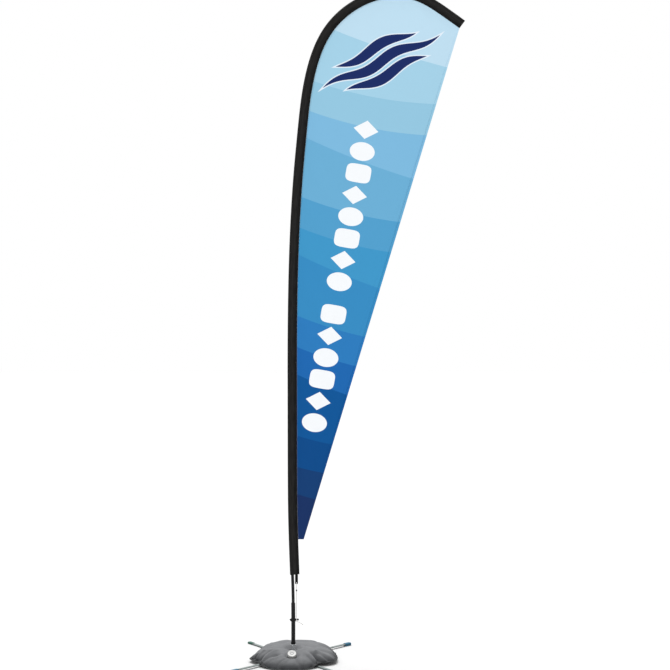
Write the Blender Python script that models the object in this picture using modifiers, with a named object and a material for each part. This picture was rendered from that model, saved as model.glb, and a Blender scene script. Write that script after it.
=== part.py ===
"""Teardrop flag on a bending pole: its spindle turns on a folding cross base under a slack water bag.

Metres, +Z up. The origin is on the ground at the spindle's axis. The flag lies in the XZ plane and
flies towards +X, and its printed face looks along -Y.
"""

import math

import bmesh
import bpy
import numpy as np
from mathutils import Matrix, Vector

OBJECT_NAME = "teardrop_flag"
GAP = 0.0003

# Cross base: two flat bars that cross at the middle, with a plastic tip on each end.
ARM_REACH = 0.500
ARM_WIDTH = 0.020
ARM_THICKNESS = 0.005
EYE_RADIUS = 0.024
UPPER_ARM_ANGLE = math.radians(44.6)
LOWER_ARM_ANGLE = math.radians(127.0)
TIP_LENGTH = 0.050
TIP_BEVEL = 0.003
TIP_WIDTH = 0.026
TIP_WALL = 0.003
TIP_OVERHANG = 0.004
ARM_WASHER_THICKNESS = 0.001

# Swivel: a boss through both arms carries the housing of two small ball bearings.
BOSS_FLANGE_RADIUS = 0.024
BOSS_FLANGE_HEIGHT = 0.003
BOSS_NECK_RADIUS = 0.0100
BOSS_BORE_RADIUS = 0.0083
BOSS_BORE_FLOOR = 0.0120
BOSS_NECK_TOP = 0.0222
HOUSING_RADIUS = 0.0150
HOUSING_FOOT_RADIUS = 0.0200
HOUSING_FOOT_TOP = 0.0200
HOUSING_TOP = 0.0480
BEARING_WEB_TOP = 0.0245
BEARING_OUTER_RADIUS = 0.0110
BEARING_INNER_RADIUS = 0.0043
BEARING_WIDTH = 0.007
OUTER_RACE_RADIUS = 0.0087
INNER_RACE_RADIUS = 0.0061
BALL_COUNT = 7
BALL_RADIUS = 0.0011
SPACER_LENGTH = 0.006
RETAINER_THICKNESS = 0.001
JOURNAL_RADIUS = 0.0040
JOURNAL_END = 0.0140
LOCK_NUT_FOOT = 0.0158
LOCK_NUT_TOP = 0.0225
LOCK_NUT_RADIUS = 0.0075

# Spindle above the swivel.
SPINDLE_RADIUS = 0.0085
SPIGOT_RADIUS = 0.0098
SPIGOT_TOP = 0.2000
CUP_RADIUS = 0.0172
CUP_FOOT = 0.0800
CUP_SEAT = 0.0870
CUP_RIM = 0.0900

# Water bag: a slack ring pillow on the arms, whose front and back lobes sag to the ground. Its section
# has shares of the way out with the drop of the underside, and with the rise of the top and what the
# front lobe loses of it.
BAG_HOLE_RADIUS = 0.032
BAG_RADIUS = 0.276
BAG_CROWN = 0.075
BAG_OVER_ARMS = 0.0170
BAG_ON_GROUND = 0.0030
BAG_EDGE = 0.006
BAG_LOBES = ((54.0, 119.0), (233.0, 299.0))
BAG_LOBE_EASE = 14.0
BAG_LOBE_REACH = 0.010
BAG_SLUMP_REACH = 0.012
BAG_PULL_IN = 0.006
BAG_SECTORS = 40
BAG_UNDERSIDE = ((0.0, 0.0), (0.3, 0.0), (0.6, 0.75), (0.82, 1.0), (0.97, 1.0))
BAG_TOP = (
    (1.00, 0.00, 0.00),
    (0.93, 0.30, 0.08),
    (0.80, 0.58, 0.16),
    (0.62, 0.82, 0.20),
    (0.42, 0.97, 0.07),
    (0.24, 1.00, 0.00),
    (0.08, 0.92, 0.00),
    (0.00, 0.70, 0.00),
)
CAP_RADIUS = 0.0265
CAP_HEIGHT = 0.016
CAP_CENTRE = Vector((-0.003, -0.162, 0.0640))
CAP_TILT = math.radians(32.0)
NECK_RADIUS = 0.021
NECK_FLANGE_RADIUS = 0.030
NECK_FOOT = -0.0090
NECK_TOP = 0.006
NECK_WALL = 0.003
CAP_CLEARANCE = 0.005
CAP_WALL = 0.003
GASKET_THICKNESS = 0.0018

# Pole: a foot tube, four sections plugged into ferrules, and a tip plug. It bends with its length:
# pairs of arc length above the foot, and lean from the vertical in degrees.
POLE_FOOT = CUP_SEAT + 2 * GAP + 0.0027
POLE_LEAN = (
    (0.00, 0.0),
    (0.12, 0.0),
    (0.45, -2.1),
    (1.00, -0.3),
    (1.80, 0.1),
    (2.50, 2.3),
    (3.00, 5.1),
    (3.40, 8.4),
    (3.70, 21.7),
    (4.00, 50.9),
    (4.30, 82.0),
    (4.60, 121.2),
    (4.83, 126.7),
)
POLE_STEP = 0.140
ARCH_START = 3.36
ARCH_STEP = 0.045
FOOT_TUBE_LENGTH = 0.255
FOOT_TUBE_RADIUS = 0.0127
FOOT_TUBE_BORE = 0.0105
FOOT_COLLAR_RADIUS = 0.0145
FOOT_COLLAR_HEIGHT = 0.018
SECTION_STARTS = (0.145, 1.30, 2.48, 3.66)
SECTION_RADII = ((0.0096, 0.0090), (0.0084, 0.0074), (0.0066, 0.0054), (0.0044, 0.0028))
SECTION_WALLS = (0.0018, 0.0016, 0.0014)
POLE_TIP = 4.770
FERRULE_HALF_LENGTH = 0.050
FERRULE_WALL = 0.0010
FERRULE_CLEARANCE = 0.0005
TUBE_RESOLUTION = 4
TIP_PLUG_RADIUS = 0.0055
TIP_PLUG_END_RADIUS = 0.00385
TIP_PLUG_LENGTH = 0.018

# Sleeve and flag.
SLEEVE_START = 0.431
SLEEVE_END = 4.830
SLEEVE_POCKET_END = 4.800
SLEEVE_ROUND_RADIUS = 0.0155
SLEEVE_ROUND_START = 80
SLEEVE_ROUND_STEP = 25
SLEEVE_BELLY = 0.48
SLEEVE_SEAM = 0.0435
SLEEVE_SEAM_HALF = 0.0012
SLEEVE_WALL = 0.0012
SLEEVE_VOID_END = 0.030
FLAG_START = 0.648
FLAG_HALF_THICKNESS = 0.0008
FLAG_TAIL_WIDTH = 0.034
HEM_WIDTH = 0.012
HEM_HALF_THICKNESS = 0.0011
SHORTEST_EDGE = 0.004

# Tension cord: a webbing tab with an eyelet at the sleeve's mouth, and a hook collar on the foot tube.
TAB_X = 0.0200
TAB_WIDTH = 0.0180
TAB_LENGTH = 0.060
TAB_HALF_THICKNESS = 0.0012
EYELET_HEIGHT = 0.0110
EYELET_BORE = 0.0032
EYELET_RADIUS = 0.0065
HOOK_HEIGHT = 0.2400
HOOK_COLLAR_HEIGHT = 0.016
HOOK_COLLAR_BORE = 0.0132
HOOK_COLLAR_RADIUS = 0.0165
HOOK_NECK_RADIUS = 0.0044
HOOK_BALL_RADIUS = 0.0064
HOOK_BALL_X = 0.0285
HOOK_BALL_RISE = 0.002
CLEAT_HALF_WIDTH = 0.004
CLEAT_OUTLINE = ((0, 0.006), (0.0075, 0.0045), (0.0075, 0.0015), (0.001, -0.0075), (0, -0.0075))
CORD_DIAMETER = 0.0040
CORD_SAMPLES = 48
CORD_ROUTE = (
    (0.0200, 0.0090, 0.4730),
    (0.0200, 0.0020, 0.4733),
    (0.0200, -0.0050, 0.4715),
    (0.0200, -0.0095, 0.4640),
    (0.0201, -0.0102, 0.4540),
    (0.0202, -0.0088, 0.4300),
    (0.0203, -0.0080, 0.4000),
    (0.0205, -0.0076, 0.3500),
    (0.0207, -0.0074, 0.3000),
    (0.0207, -0.0074, 0.2620),
    (0.0206, -0.0074, 0.2490),
    (0.0206, -0.0058, 0.2380),
    (0.0220, -0.0015, 0.2320),
    (0.0270, 0.0010, 0.2290),
    (0.0350, 0.0005, 0.2255),
    (0.0450, -0.0010, 0.2205),
    (0.0550, -0.0025, 0.2150),
)
CORD_CLAMP_Z = 0.4250
CORD_CLAMP_WALL = 0.0016
CORD_CLAMP_LENGTH = 0.008
KNOT_RADIUS = 0.0045
TURN_STEPS = 24

MATERIALS = {
    "steel_bar": ((0.42, 0.43, 0.44), 0.35, 1.0),
    "zinc_steel": ((0.55, 0.55, 0.54), 0.30, 1.0),
    "chrome": ((0.80, 0.80, 0.82), 0.08, 1.0),
    "bearing_steel": ((0.62, 0.62, 0.64), 0.18, 1.0),
    "brass": ((0.72, 0.56, 0.28), 0.35, 1.0),
    "teal_plastic": ((0.02, 0.16, 0.18), 0.40, 0.0),
    "black_plastic": ((0.02, 0.02, 0.022), 0.45, 0.0),
    "white_plastic": ((0.82, 0.82, 0.81), 0.40, 0.0),
    "seal_rubber": ((0.03, 0.03, 0.03), 0.80, 0.0),
    "grey_pvc": ((0.16, 0.165, 0.17), 0.50, 0.0),
    "black_composite": ((0.015, 0.015, 0.017), 0.30, 0.0),
    "silver_ferrule": ((0.60, 0.61, 0.62), 0.30, 1.0),
    "black_satin": ((0.012, 0.011, 0.011), 0.55, 0.0),
    "printed_polyester": ((0.10, 0.34, 0.60), 0.70, 0.0),
    "hem_tape": ((0.55, 0.60, 0.66), 0.75, 0.0),
    "black_webbing": ((0.014, 0.014, 0.015), 0.80, 0.0),
    "white_cord": ((0.75, 0.75, 0.74), 0.75, 0.0),
}


def clear_scene():
    """Remove every object that the scene starts with."""
    for found in list(bpy.data.objects):
        bpy.data.objects.remove(found, do_unlink=True)


def new_collection(name):
    """A collection linked to the scene."""
    collection = bpy.data.collections.new(name)
    bpy.context.scene.collection.children.link(collection)
    return collection


def material(name):
    """The Principled material of this name, made once."""
    found = bpy.data.materials.get(name)
    if found:
        return found
    colour, roughness, metallic = MATERIALS[name]
    made = bpy.data.materials.new(name)
    made.use_nodes = True
    shader = made.node_tree.nodes["Principled BSDF"]
    shader.inputs["Base Color"].default_value = (*colour, 1.0)
    shader.inputs["Roughness"].default_value = roughness
    shader.inputs["Metallic"].default_value = metallic
    made.diffuse_color = (*colour, 1.0)
    return made


class Workshop:
    """Holds the two collections and puts finished objects in them."""

    def __init__(self):
        self.parts = new_collection(OBJECT_NAME)
        self.cutters = new_collection("cutters")

    def add(self, name, data, finish, parent=None, location=(0, 0, 0), rotation=(0, 0, 0)):
        """A named part with its material, place and parent."""
        made = bpy.data.objects.new(name, data)
        data.materials.clear()
        data.materials.append(material(finish))
        self.parts.objects.link(made)
        made.parent = parent
        made.location = location
        made.rotation_euler = rotation
        return made

    def cutter(self, name, data, location=(0, 0, 0), rotation=(0, 0, 0), parent=None):
        """A hidden object that a Boolean takes away."""
        made = bpy.data.objects.new(name, data)
        self.cutters.objects.link(made)
        made.hide_render = True
        made.display_type = "WIRE"
        made.parent = parent
        made.location = location
        made.rotation_euler = rotation
        return made

    def axis(self, name, location=(0, 0, 0), rotation=(0, 0, 0), parent=None):
        """An empty on a joint's axis."""
        made = bpy.data.objects.new(name, None)
        self.parts.objects.link(made)
        made.location = location
        made.rotation_euler = rotation
        made.parent = parent
        return made

    def turned(self, name, profile, finish, closed=False, steps=TURN_STEPS, **place):
        """A turned piece: (radius, height) points down its outside, and back up its bore if closed."""
        mesh = bpy.data.meshes.new(name)
        count = len(profile)
        ends = [(i, i + 1) for i in range(count - 1)]
        if closed:
            ends.append((count - 1, 0))
        mesh.from_pydata([(radius, 0, height) for radius, height in profile], ends, [])
        made = self.add(name, mesh, finish, **place)
        screw = made.modifiers.new("turn", "SCREW")
        screw.axis = "Z"
        screw.steps = steps
        screw.render_steps = steps
        screw.use_merge_vertices = True
        screw.merge_threshold = 0.00001
        return made

    def flat(self, name, outline, half_thickness, finish, holes=(), **place):
        """A flat outline in the local XY plane with its holes, extruded both ways."""
        curve = bpy.data.curves.new(name, "CURVE")
        curve.dimensions = "2D"
        curve.fill_mode = "BOTH"
        curve.extrude = half_thickness
        for points in (outline, *holes):
            spline = curve.splines.new("POLY")
            spline.points.add(len(points) - 1)
            spline.points.foreach_set("co", [c for x, y in points for c in (x, y, 0, 1)])
            spline.use_cyclic_u = True
        return self.add(name, curve, finish, **place)


def box_mesh(name, size, bevel=0.0, segments=2):
    """A box about its own middle, with rounded edges."""
    mesh = bpy.data.meshes.new(name)
    shape = bmesh.new()
    bmesh.ops.create_cube(shape, size=1.0, matrix=Matrix.Diagonal((*size, 1.0)))
    if bevel:
        edges = shape.edges
        bmesh.ops.bevel(
            shape, geom=edges, offset=bevel, segments=segments, profile=0.5, affect="EDGES"
        )
    shape.to_mesh(mesh)
    shape.free()
    return mesh


def cylinder_mesh(name, radius, height, segments=24):
    """A closed cylinder that stands on its local ground."""
    mesh = bpy.data.meshes.new(name)
    shape = bmesh.new()
    bmesh.ops.create_cone(
        shape,
        cap_ends=True,
        segments=segments,
        radius1=radius,
        radius2=radius,
        depth=height,
        matrix=Matrix.Translation((0, 0, height / 2)),
    )
    shape.to_mesh(mesh)
    shape.free()
    return mesh


def ball_mesh(name, radius, segments=12, rings=7):
    """A small closed ball."""
    mesh = bpy.data.meshes.new(name)
    shape = bmesh.new()
    bmesh.ops.create_uvsphere(shape, u_segments=segments, v_segments=rings, radius=radius)
    shape.to_mesh(mesh)
    shape.free()
    return mesh


def boolean(target, tool, operation="DIFFERENCE"):
    """Cut the tool from the target, or join it on."""
    step = target.modifiers.new(operation.lower(), "BOOLEAN")
    step.operation = operation
    step.object = tool


def lofted(name, rings, closed):
    """A closed mesh through rings of equal point counts; open lofts get a cap on each end."""
    mesh = bpy.data.meshes.new(name)
    shape = bmesh.new()
    rows = [[shape.verts.new(point) for point in ring] for ring in rings]
    count = len(rows[0])
    pairs = list(zip(rows, rows[1:]))
    if closed:
        pairs.append((rows[-1], rows[0]))
    for low, high in pairs:
        for i in range(count):
            j = (i + 1) % count
            shape.faces.new((low[i], low[j], high[j], high[i]))
    if not closed:
        shape.faces.new(rows[0])
        shape.faces.new(rows[-1])
    bmesh.ops.recalc_face_normals(shape, faces=shape.faces)
    shape.to_mesh(mesh)
    shape.free()
    return mesh


class PoleLine:
    """The pole's bent centre line in the XZ plane, worked out from its lean along its length."""

    SAMPLES = 4001

    def __init__(self):
        knots, lean = np.array(POLE_LEAN).T
        self.length = np.linspace(0, knots[-1], self.SAMPLES)
        self.lean = np.radians(self.smooth(knots, lean, self.length))
        step = self.length[1]
        across = (np.sin(self.lean[1:]) + np.sin(self.lean[:-1])) * step / 2
        up = (np.cos(self.lean[1:]) + np.cos(self.lean[:-1])) * step / 2
        self.x = np.concatenate([[0], np.cumsum(across)])
        self.z = POLE_FOOT + np.concatenate([[0], np.cumsum(up)])

    @staticmethod
    def smooth(knots, values, at):
        """Cubic curve through the values, whose slope at each knot is the mean slope beside it."""
        slope = np.gradient(values, knots)
        i = np.clip(np.searchsorted(knots, at, side="right") - 1, 0, len(knots) - 2)
        span = knots[i + 1] - knots[i]
        u = (at - knots[i]) / span
        start = (2 * u**3 - 3 * u**2 + 1) * values[i] + (u**3 - 2 * u**2 + u) * span * slope[i]
        end = (3 * u**2 - 2 * u**3) * values[i + 1] + (u**3 - u**2) * span * slope[i + 1]
        return start + end

    def point(self, s, across=0.0, side=0.0):
        """The point at arc length s, moved across towards the flag and sideways along Y."""
        lean = np.interp(s, self.length, self.lean)
        x = np.interp(s, self.length, self.x) + across * math.cos(lean)
        z = np.interp(s, self.length, self.z) - across * math.sin(lean)
        return Vector((x, side, z))

    def stations(self, start, end):
        """Arc lengths from start to end, closer together where the pole arches."""
        shared = np.concatenate(
            [np.arange(0, ARCH_START, POLE_STEP), np.arange(ARCH_START, self.length[-1], ARCH_STEP)]
        )
        inside = shared[(shared > start + ARCH_STEP / 4) & (shared < end - ARCH_STEP / 4)]
        return [start, *inside.tolist(), end]


def tube_mesh(name, line, start, end, radii, resolution, capped=False):
    """A round tube along the pole's line, open at both ends unless it is capped."""
    stations = line.stations(start, end)
    curve = bpy.data.curves.new(name, "CURVE")
    curve.dimensions = "3D"
    curve.bevel_depth = radii[0]
    curve.bevel_resolution = resolution
    curve.use_fill_caps = capped
    spline = curve.splines.new("POLY")
    spline.points.add(len(stations) - 1)
    for point, s in zip(spline.points, stations):
        point.co = (*line.point(s), 1)
        share = (s - start) / (end - start)
        point.radius = 1 + share * (radii[1] / radii[0] - 1)
    holder = bpy.data.objects.new(name + "_curve", curve)
    bpy.context.scene.collection.objects.link(holder)
    bpy.context.view_layer.update()
    evaluated = holder.evaluated_get(bpy.context.evaluated_depsgraph_get())
    mesh = bpy.data.meshes.new_from_object(evaluated)
    bpy.data.objects.remove(holder, do_unlink=True)
    shape = bmesh.new()
    shape.from_mesh(mesh)
    bmesh.ops.remove_doubles(shape, verts=shape.verts, dist=0.00001)
    bmesh.ops.recalc_face_normals(shape, faces=shape.faces)
    shape.to_mesh(mesh)
    shape.free()
    mesh.shade_smooth()
    return mesh


def hollow(made, wall):
    """Give an open tube its wall, inwards."""
    shell = made.modifiers.new("wall", "SOLIDIFY")
    shell.thickness = wall
    shell.offset = -1
    shell.use_even_offset = True


def circle(radius, count, centre=(0, 0)):
    """Points round a circle."""
    turns = [2 * math.pi * i / count for i in range(count)]
    return [(centre[0] + radius * math.cos(a), centre[1] + radius * math.sin(a)) for a in turns]


# Heights of the stack on the boss.
LOWER_ARM_FOOT = BOSS_FLANGE_HEIGHT + GAP
ARM_WASHER_FOOT = LOWER_ARM_FOOT + ARM_THICKNESS + GAP
UPPER_ARM_FOOT = ARM_WASHER_FOOT + ARM_WASHER_THICKNESS + GAP
HOUSING_FOOT = UPPER_ARM_FOOT + ARM_THICKNESS + GAP
LOWER_BEARING_FOOT = BEARING_WEB_TOP + GAP
SPACER_FOOT = LOWER_BEARING_FOOT + BEARING_WIDTH + GAP
UPPER_BEARING_FOOT = SPACER_FOOT + SPACER_LENGTH + GAP
RETAINER_FOOT = UPPER_BEARING_FOOT + BEARING_WIDTH + GAP


def arm_outline():
    """A bar with a round eye at its middle."""
    half = ARM_WIDTH / 2
    end = ARM_REACH - TIP_OVERHANG
    start = math.asin(half / EYE_RADIUS)
    arc = [start + (math.pi - 2 * start) * i / 10 for i in range(11)]
    upper = [(EYE_RADIUS * math.cos(a), EYE_RADIUS * math.sin(a)) for a in arc]
    lower = [(-x, -y) for x, y in upper]
    return [(end, half), *upper, (-end, half), (-end, -half), *lower, (end, -half)]


def build_arm(shop, name, foot, axis):
    """One cross bar and the two plastic tips on its ends."""
    bore = circle(BOSS_NECK_RADIUS + GAP, TURN_STEPS)
    middle = foot + ARM_THICKNESS / 2
    shop.flat(
        name,
        arm_outline(),
        ARM_THICKNESS / 2,
        "steel_bar",
        holes=[bore],
        parent=axis,
        location=(0, 0, middle),
    )
    height = foot + ARM_THICKNESS + GAP + TIP_WALL
    for end, side in (("right", 1), ("left", -1)):
        centre = side * (ARM_REACH - TIP_LENGTH / 2)
        size = (TIP_LENGTH, TIP_WIDTH, height)
        tip = shop.add(
            f"{name}_tip_{end}",
            box_mesh(f"{name}_tip_{end}", size, bevel=TIP_BEVEL),
            "teal_plastic",
            parent=axis,
            location=(centre, 0, height / 2),
        )
        pocket_size = (TIP_LENGTH, ARM_WIDTH + 2 * GAP, ARM_THICKNESS + 2 * GAP)
        pocket = shop.cutter(
            f"{name}_pocket_{end}",
            box_mesh(f"{name}_pocket_{end}", pocket_size),
            location=(centre - side * (TIP_OVERHANG - GAP), 0, middle),
            parent=axis,
        )
        boolean(tip, pocket)


def build_swivel(shop):
    """The boss through the arms, the bearing housing and the fixed rings in it."""
    shop.turned(
        "pivot_boss",
        [
            (0, BOSS_BORE_FLOOR),
            (BOSS_BORE_RADIUS, BOSS_BORE_FLOOR),
            (BOSS_BORE_RADIUS, BOSS_NECK_TOP),
            (BOSS_NECK_RADIUS, BOSS_NECK_TOP),
            (BOSS_NECK_RADIUS, BOSS_FLANGE_HEIGHT),
            (BOSS_FLANGE_RADIUS, BOSS_FLANGE_HEIGHT),
            (BOSS_FLANGE_RADIUS, 0),
            (0, 0),
        ],
        "zinc_steel",
    )
    shop.turned(
        "arm_washer",
        ring_profile(BOSS_NECK_RADIUS + GAP, EYE_RADIUS - 0.003, ARM_WASHER_FOOT, ARM_WASHER_THICKNESS),
        "brass",
        closed=True,
    )
    seat = BEARING_OUTER_RADIUS + GAP
    web = BOSS_NECK_TOP + GAP
    shop.turned(
        "swivel_housing",
        [
            (seat, HOUSING_TOP),
            (HOUSING_RADIUS - 0.001, HOUSING_TOP),
            (HOUSING_RADIUS, HOUSING_TOP - 0.001),
            (HOUSING_RADIUS, HOUSING_FOOT_TOP + 0.002),
            (HOUSING_RADIUS + 0.002, HOUSING_FOOT_TOP),
            (HOUSING_FOOT_RADIUS, HOUSING_FOOT_TOP),
            (HOUSING_FOOT_RADIUS, HOUSING_FOOT),
            (BOSS_NECK_RADIUS + GAP, HOUSING_FOOT),
            (BOSS_NECK_RADIUS + GAP, web),
            (BOSS_BORE_RADIUS, web),
            (BOSS_BORE_RADIUS, BEARING_WEB_TOP),
            (seat, BEARING_WEB_TOP),
        ],
        "zinc_steel",
        closed=True,
    )
    for name, foot in (("lower", LOWER_BEARING_FOOT), ("upper", UPPER_BEARING_FOOT)):
        shop.turned(
            f"{name}_bearing_outer_ring",
            ring_profile(OUTER_RACE_RADIUS, BEARING_OUTER_RADIUS, foot, BEARING_WIDTH),
            "bearing_steel",
            closed=True,
        )
    shop.turned(
        "bearing_spacer_ring",
        ring_profile(OUTER_RACE_RADIUS, BEARING_OUTER_RADIUS, SPACER_FOOT, SPACER_LENGTH),
        "zinc_steel",
        closed=True,
    )
    shop.turned(
        "bearing_retaining_ring",
        ring_profile(OUTER_RACE_RADIUS, BEARING_OUTER_RADIUS, RETAINER_FOOT, RETAINER_THICKNESS),
        "bearing_steel",
        closed=True,
    )


def ring_profile(bore, radius, foot, height):
    """The closed section of a plain ring."""
    top = foot + height
    return [(bore, top), (radius, top), (radius, foot), (bore, foot)]


def build_rotor(shop, axis):
    """The turning spindle, with the bearings' inner rings, cages, spacer, washer and lock nut."""
    shoulder = RETAINER_FOOT
    clear = HOUSING_TOP + GAP
    shop.turned(
        "spindle",
        [
            (0, SPIGOT_TOP),
            (SPIGOT_RADIUS - 0.003, SPIGOT_TOP),
            (SPIGOT_RADIUS, SPIGOT_TOP - 0.005),
            (SPIGOT_RADIUS, CUP_SEAT),
            (CUP_RADIUS - 0.0016, CUP_SEAT),
            (CUP_RADIUS - 0.0012, CUP_RIM),
            (CUP_RADIUS, CUP_RIM),
            (CUP_RADIUS, CUP_FOOT + 0.003),
            (CUP_RADIUS - 0.003, CUP_FOOT),
            (SPINDLE_RADIUS, CUP_FOOT),
            (SPINDLE_RADIUS, clear),
            (INNER_RACE_RADIUS, clear),
            (INNER_RACE_RADIUS, shoulder),
            (JOURNAL_RADIUS, shoulder),
            (JOURNAL_RADIUS, JOURNAL_END),
            (0, JOURNAL_END),
        ],
        "chrome",
        parent=axis,
    )
    for name, foot in (("lower", LOWER_BEARING_FOOT), ("upper", UPPER_BEARING_FOOT)):
        shop.turned(
            f"{name}_bearing_inner_ring",
            ring_profile(BEARING_INNER_RADIUS, INNER_RACE_RADIUS, foot, BEARING_WIDTH),
            "bearing_steel",
            closed=True,
            parent=axis,
        )
        build_ball_cage(shop, f"{name}_bearing_ball_cage", foot + BEARING_WIDTH / 2, axis)
    shop.turned(
        "inner_spacer_tube",
        ring_profile(BEARING_INNER_RADIUS, INNER_RACE_RADIUS, SPACER_FOOT, SPACER_LENGTH),
        "zinc_steel",
        closed=True,
        parent=axis,
    )
    washer_foot = LOCK_NUT_TOP + GAP
    shop.turned(
        "lock_washer",
        ring_profile(BEARING_INNER_RADIUS, LOCK_NUT_RADIUS, washer_foot, BEARING_WEB_TOP - washer_foot),
        "zinc_steel",
        closed=True,
        parent=axis,
    )
    nut = shop.add(
        "lock_nut",
        cylinder_mesh("lock_nut", LOCK_NUT_RADIUS, LOCK_NUT_TOP - LOCK_NUT_FOOT, segments=6),
        "zinc_steel",
        parent=axis,
        location=(0, 0, LOCK_NUT_FOOT),
    )
    thread = shop.cutter(
        "lock_nut_thread",
        cylinder_mesh("lock_nut_thread", BEARING_INNER_RADIUS, 0.02, segments=TURN_STEPS),
        location=(0, 0, LOCK_NUT_FOOT - 0.005),
        parent=axis,
    )
    boolean(nut, thread)


def build_ball_cage(shop, name, height, axis):
    """A bearing's cage ring with its balls held in it."""
    middle = (INNER_RACE_RADIUS + OUTER_RACE_RADIUS) / 2
    cage = shop.turned(
        name,
        ring_profile(middle - 0.0005, middle + 0.0005, -0.0016, 0.0032),
        "brass",
        closed=True,
        steps=21,
        parent=axis,
        location=(0, 0, height),
    )
    for i in range(BALL_COUNT):
        turn = 2 * math.pi * (i + 0.5) / BALL_COUNT
        ball = shop.cutter(
            f"{name}_ball_{i + 1}",
            ball_mesh(f"{name}_ball_{i + 1}", BALL_RADIUS, segments=8, rings=5),
            location=(middle * math.cos(turn), middle * math.sin(turn), height),
            parent=axis,
        )
        boolean(cage, ball, "UNION")


def ease(low, high, value):
    """0 below low, 1 above high, and a smooth rise between."""
    t = min(max((value - low) / (high - low), 0.0), 1.0)
    return t * t * (3 - 2 * t)


def bag_sag(degrees):
    """How far a lobe sags at this bearing, from 0 over the arms to 1 in a lobe's middle."""
    return max(
        ease(start, start + BAG_LOBE_EASE, degrees) * (1 - ease(end - BAG_LOBE_EASE, end, degrees))
        for start, end in BAG_LOBES
    )


def bag_ring(turn):
    """The bag's section at this bearing: out under it, round its edge and back over its top."""
    degrees = math.degrees(turn) % 360
    sag = bag_sag(degrees)
    slump = sag if degrees > 180 else 0.0
    reach = BAG_RADIUS + BAG_LOBE_REACH * sag + BAG_SLUMP_REACH * slump
    reach -= BAG_PULL_IN * math.cos(4 * turn)
    span = reach - BAG_HOLE_RADIUS
    ring = []
    for share, drop in BAG_UNDERSIDE:
        height = BAG_OVER_ARMS - drop * sag * (BAG_OVER_ARMS - BAG_ON_GROUND)
        ring.append((BAG_HOLE_RADIUS + share * span, height))
    edge = BAG_OVER_ARMS - sag * (BAG_OVER_ARMS - BAG_ON_GROUND) + BAG_EDGE
    for share, rise, loss in BAG_TOP:
        height = edge + (rise - loss * slump) * (BAG_CROWN - edge)
        ring.append((BAG_HOLE_RADIUS + share * span, height))
    return [Vector((r * math.cos(turn), r * math.sin(turn), z)) for r, z in ring]


def build_bag(shop):
    """The water bag with its filler neck, and the screw cap with its gasket on its own axis."""
    rings = [bag_ring(2 * math.pi * i / BAG_SECTORS) for i in range(BAG_SECTORS)]
    bag = shop.add("water_bag", lofted("water_bag", rings, closed=True), "grey_pvc")
    bag.data.shade_smooth()
    axis = shop.axis("cap_axis", location=CAP_CENTRE, rotation=(CAP_TILT, 0, 0))
    seat = shop.cutter(
        "neck_seat",
        cylinder_mesh("neck_seat", NECK_FLANGE_RADIUS + 0.001, 0.10),
        parent=axis,
        location=(0, 0, NECK_FOOT - GAP),
    )
    boolean(bag, seat)
    shop.turned(
        "bag_filler_neck",
        [
            (NECK_RADIUS - NECK_WALL, NECK_TOP),
            (NECK_RADIUS, NECK_TOP),
            (NECK_RADIUS, NECK_FOOT + 0.003),
            (NECK_FLANGE_RADIUS, NECK_FOOT + 0.002),
            (NECK_FLANGE_RADIUS, NECK_FOOT),
            (NECK_RADIUS - NECK_WALL, NECK_FOOT),
        ],
        "grey_pvc",
        closed=True,
        parent=axis,
    )
    inner = NECK_RADIUS + GAP
    skirt = NECK_FOOT + CAP_CLEARANCE
    shop.turned(
        "bag_cap",
        [
            (0, CAP_HEIGHT + skirt),
            (CAP_RADIUS - CAP_WALL, CAP_HEIGHT + skirt),
            (CAP_RADIUS, CAP_HEIGHT + skirt - CAP_WALL),
            (CAP_RADIUS, skirt),
            (inner, skirt),
            (inner, CAP_HEIGHT + skirt - CAP_WALL),
            (0, CAP_HEIGHT + skirt - CAP_WALL),
        ],
        "white_plastic",
        parent=axis,
    )
    shop.turned(
        "cap_gasket",
        ring_profile(NECK_RADIUS - 0.004, NECK_RADIUS - 0.0005, NECK_TOP + GAP, GASKET_THICKNESS),
        "seal_rubber",
        closed=True,
        parent=axis,
    )


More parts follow.
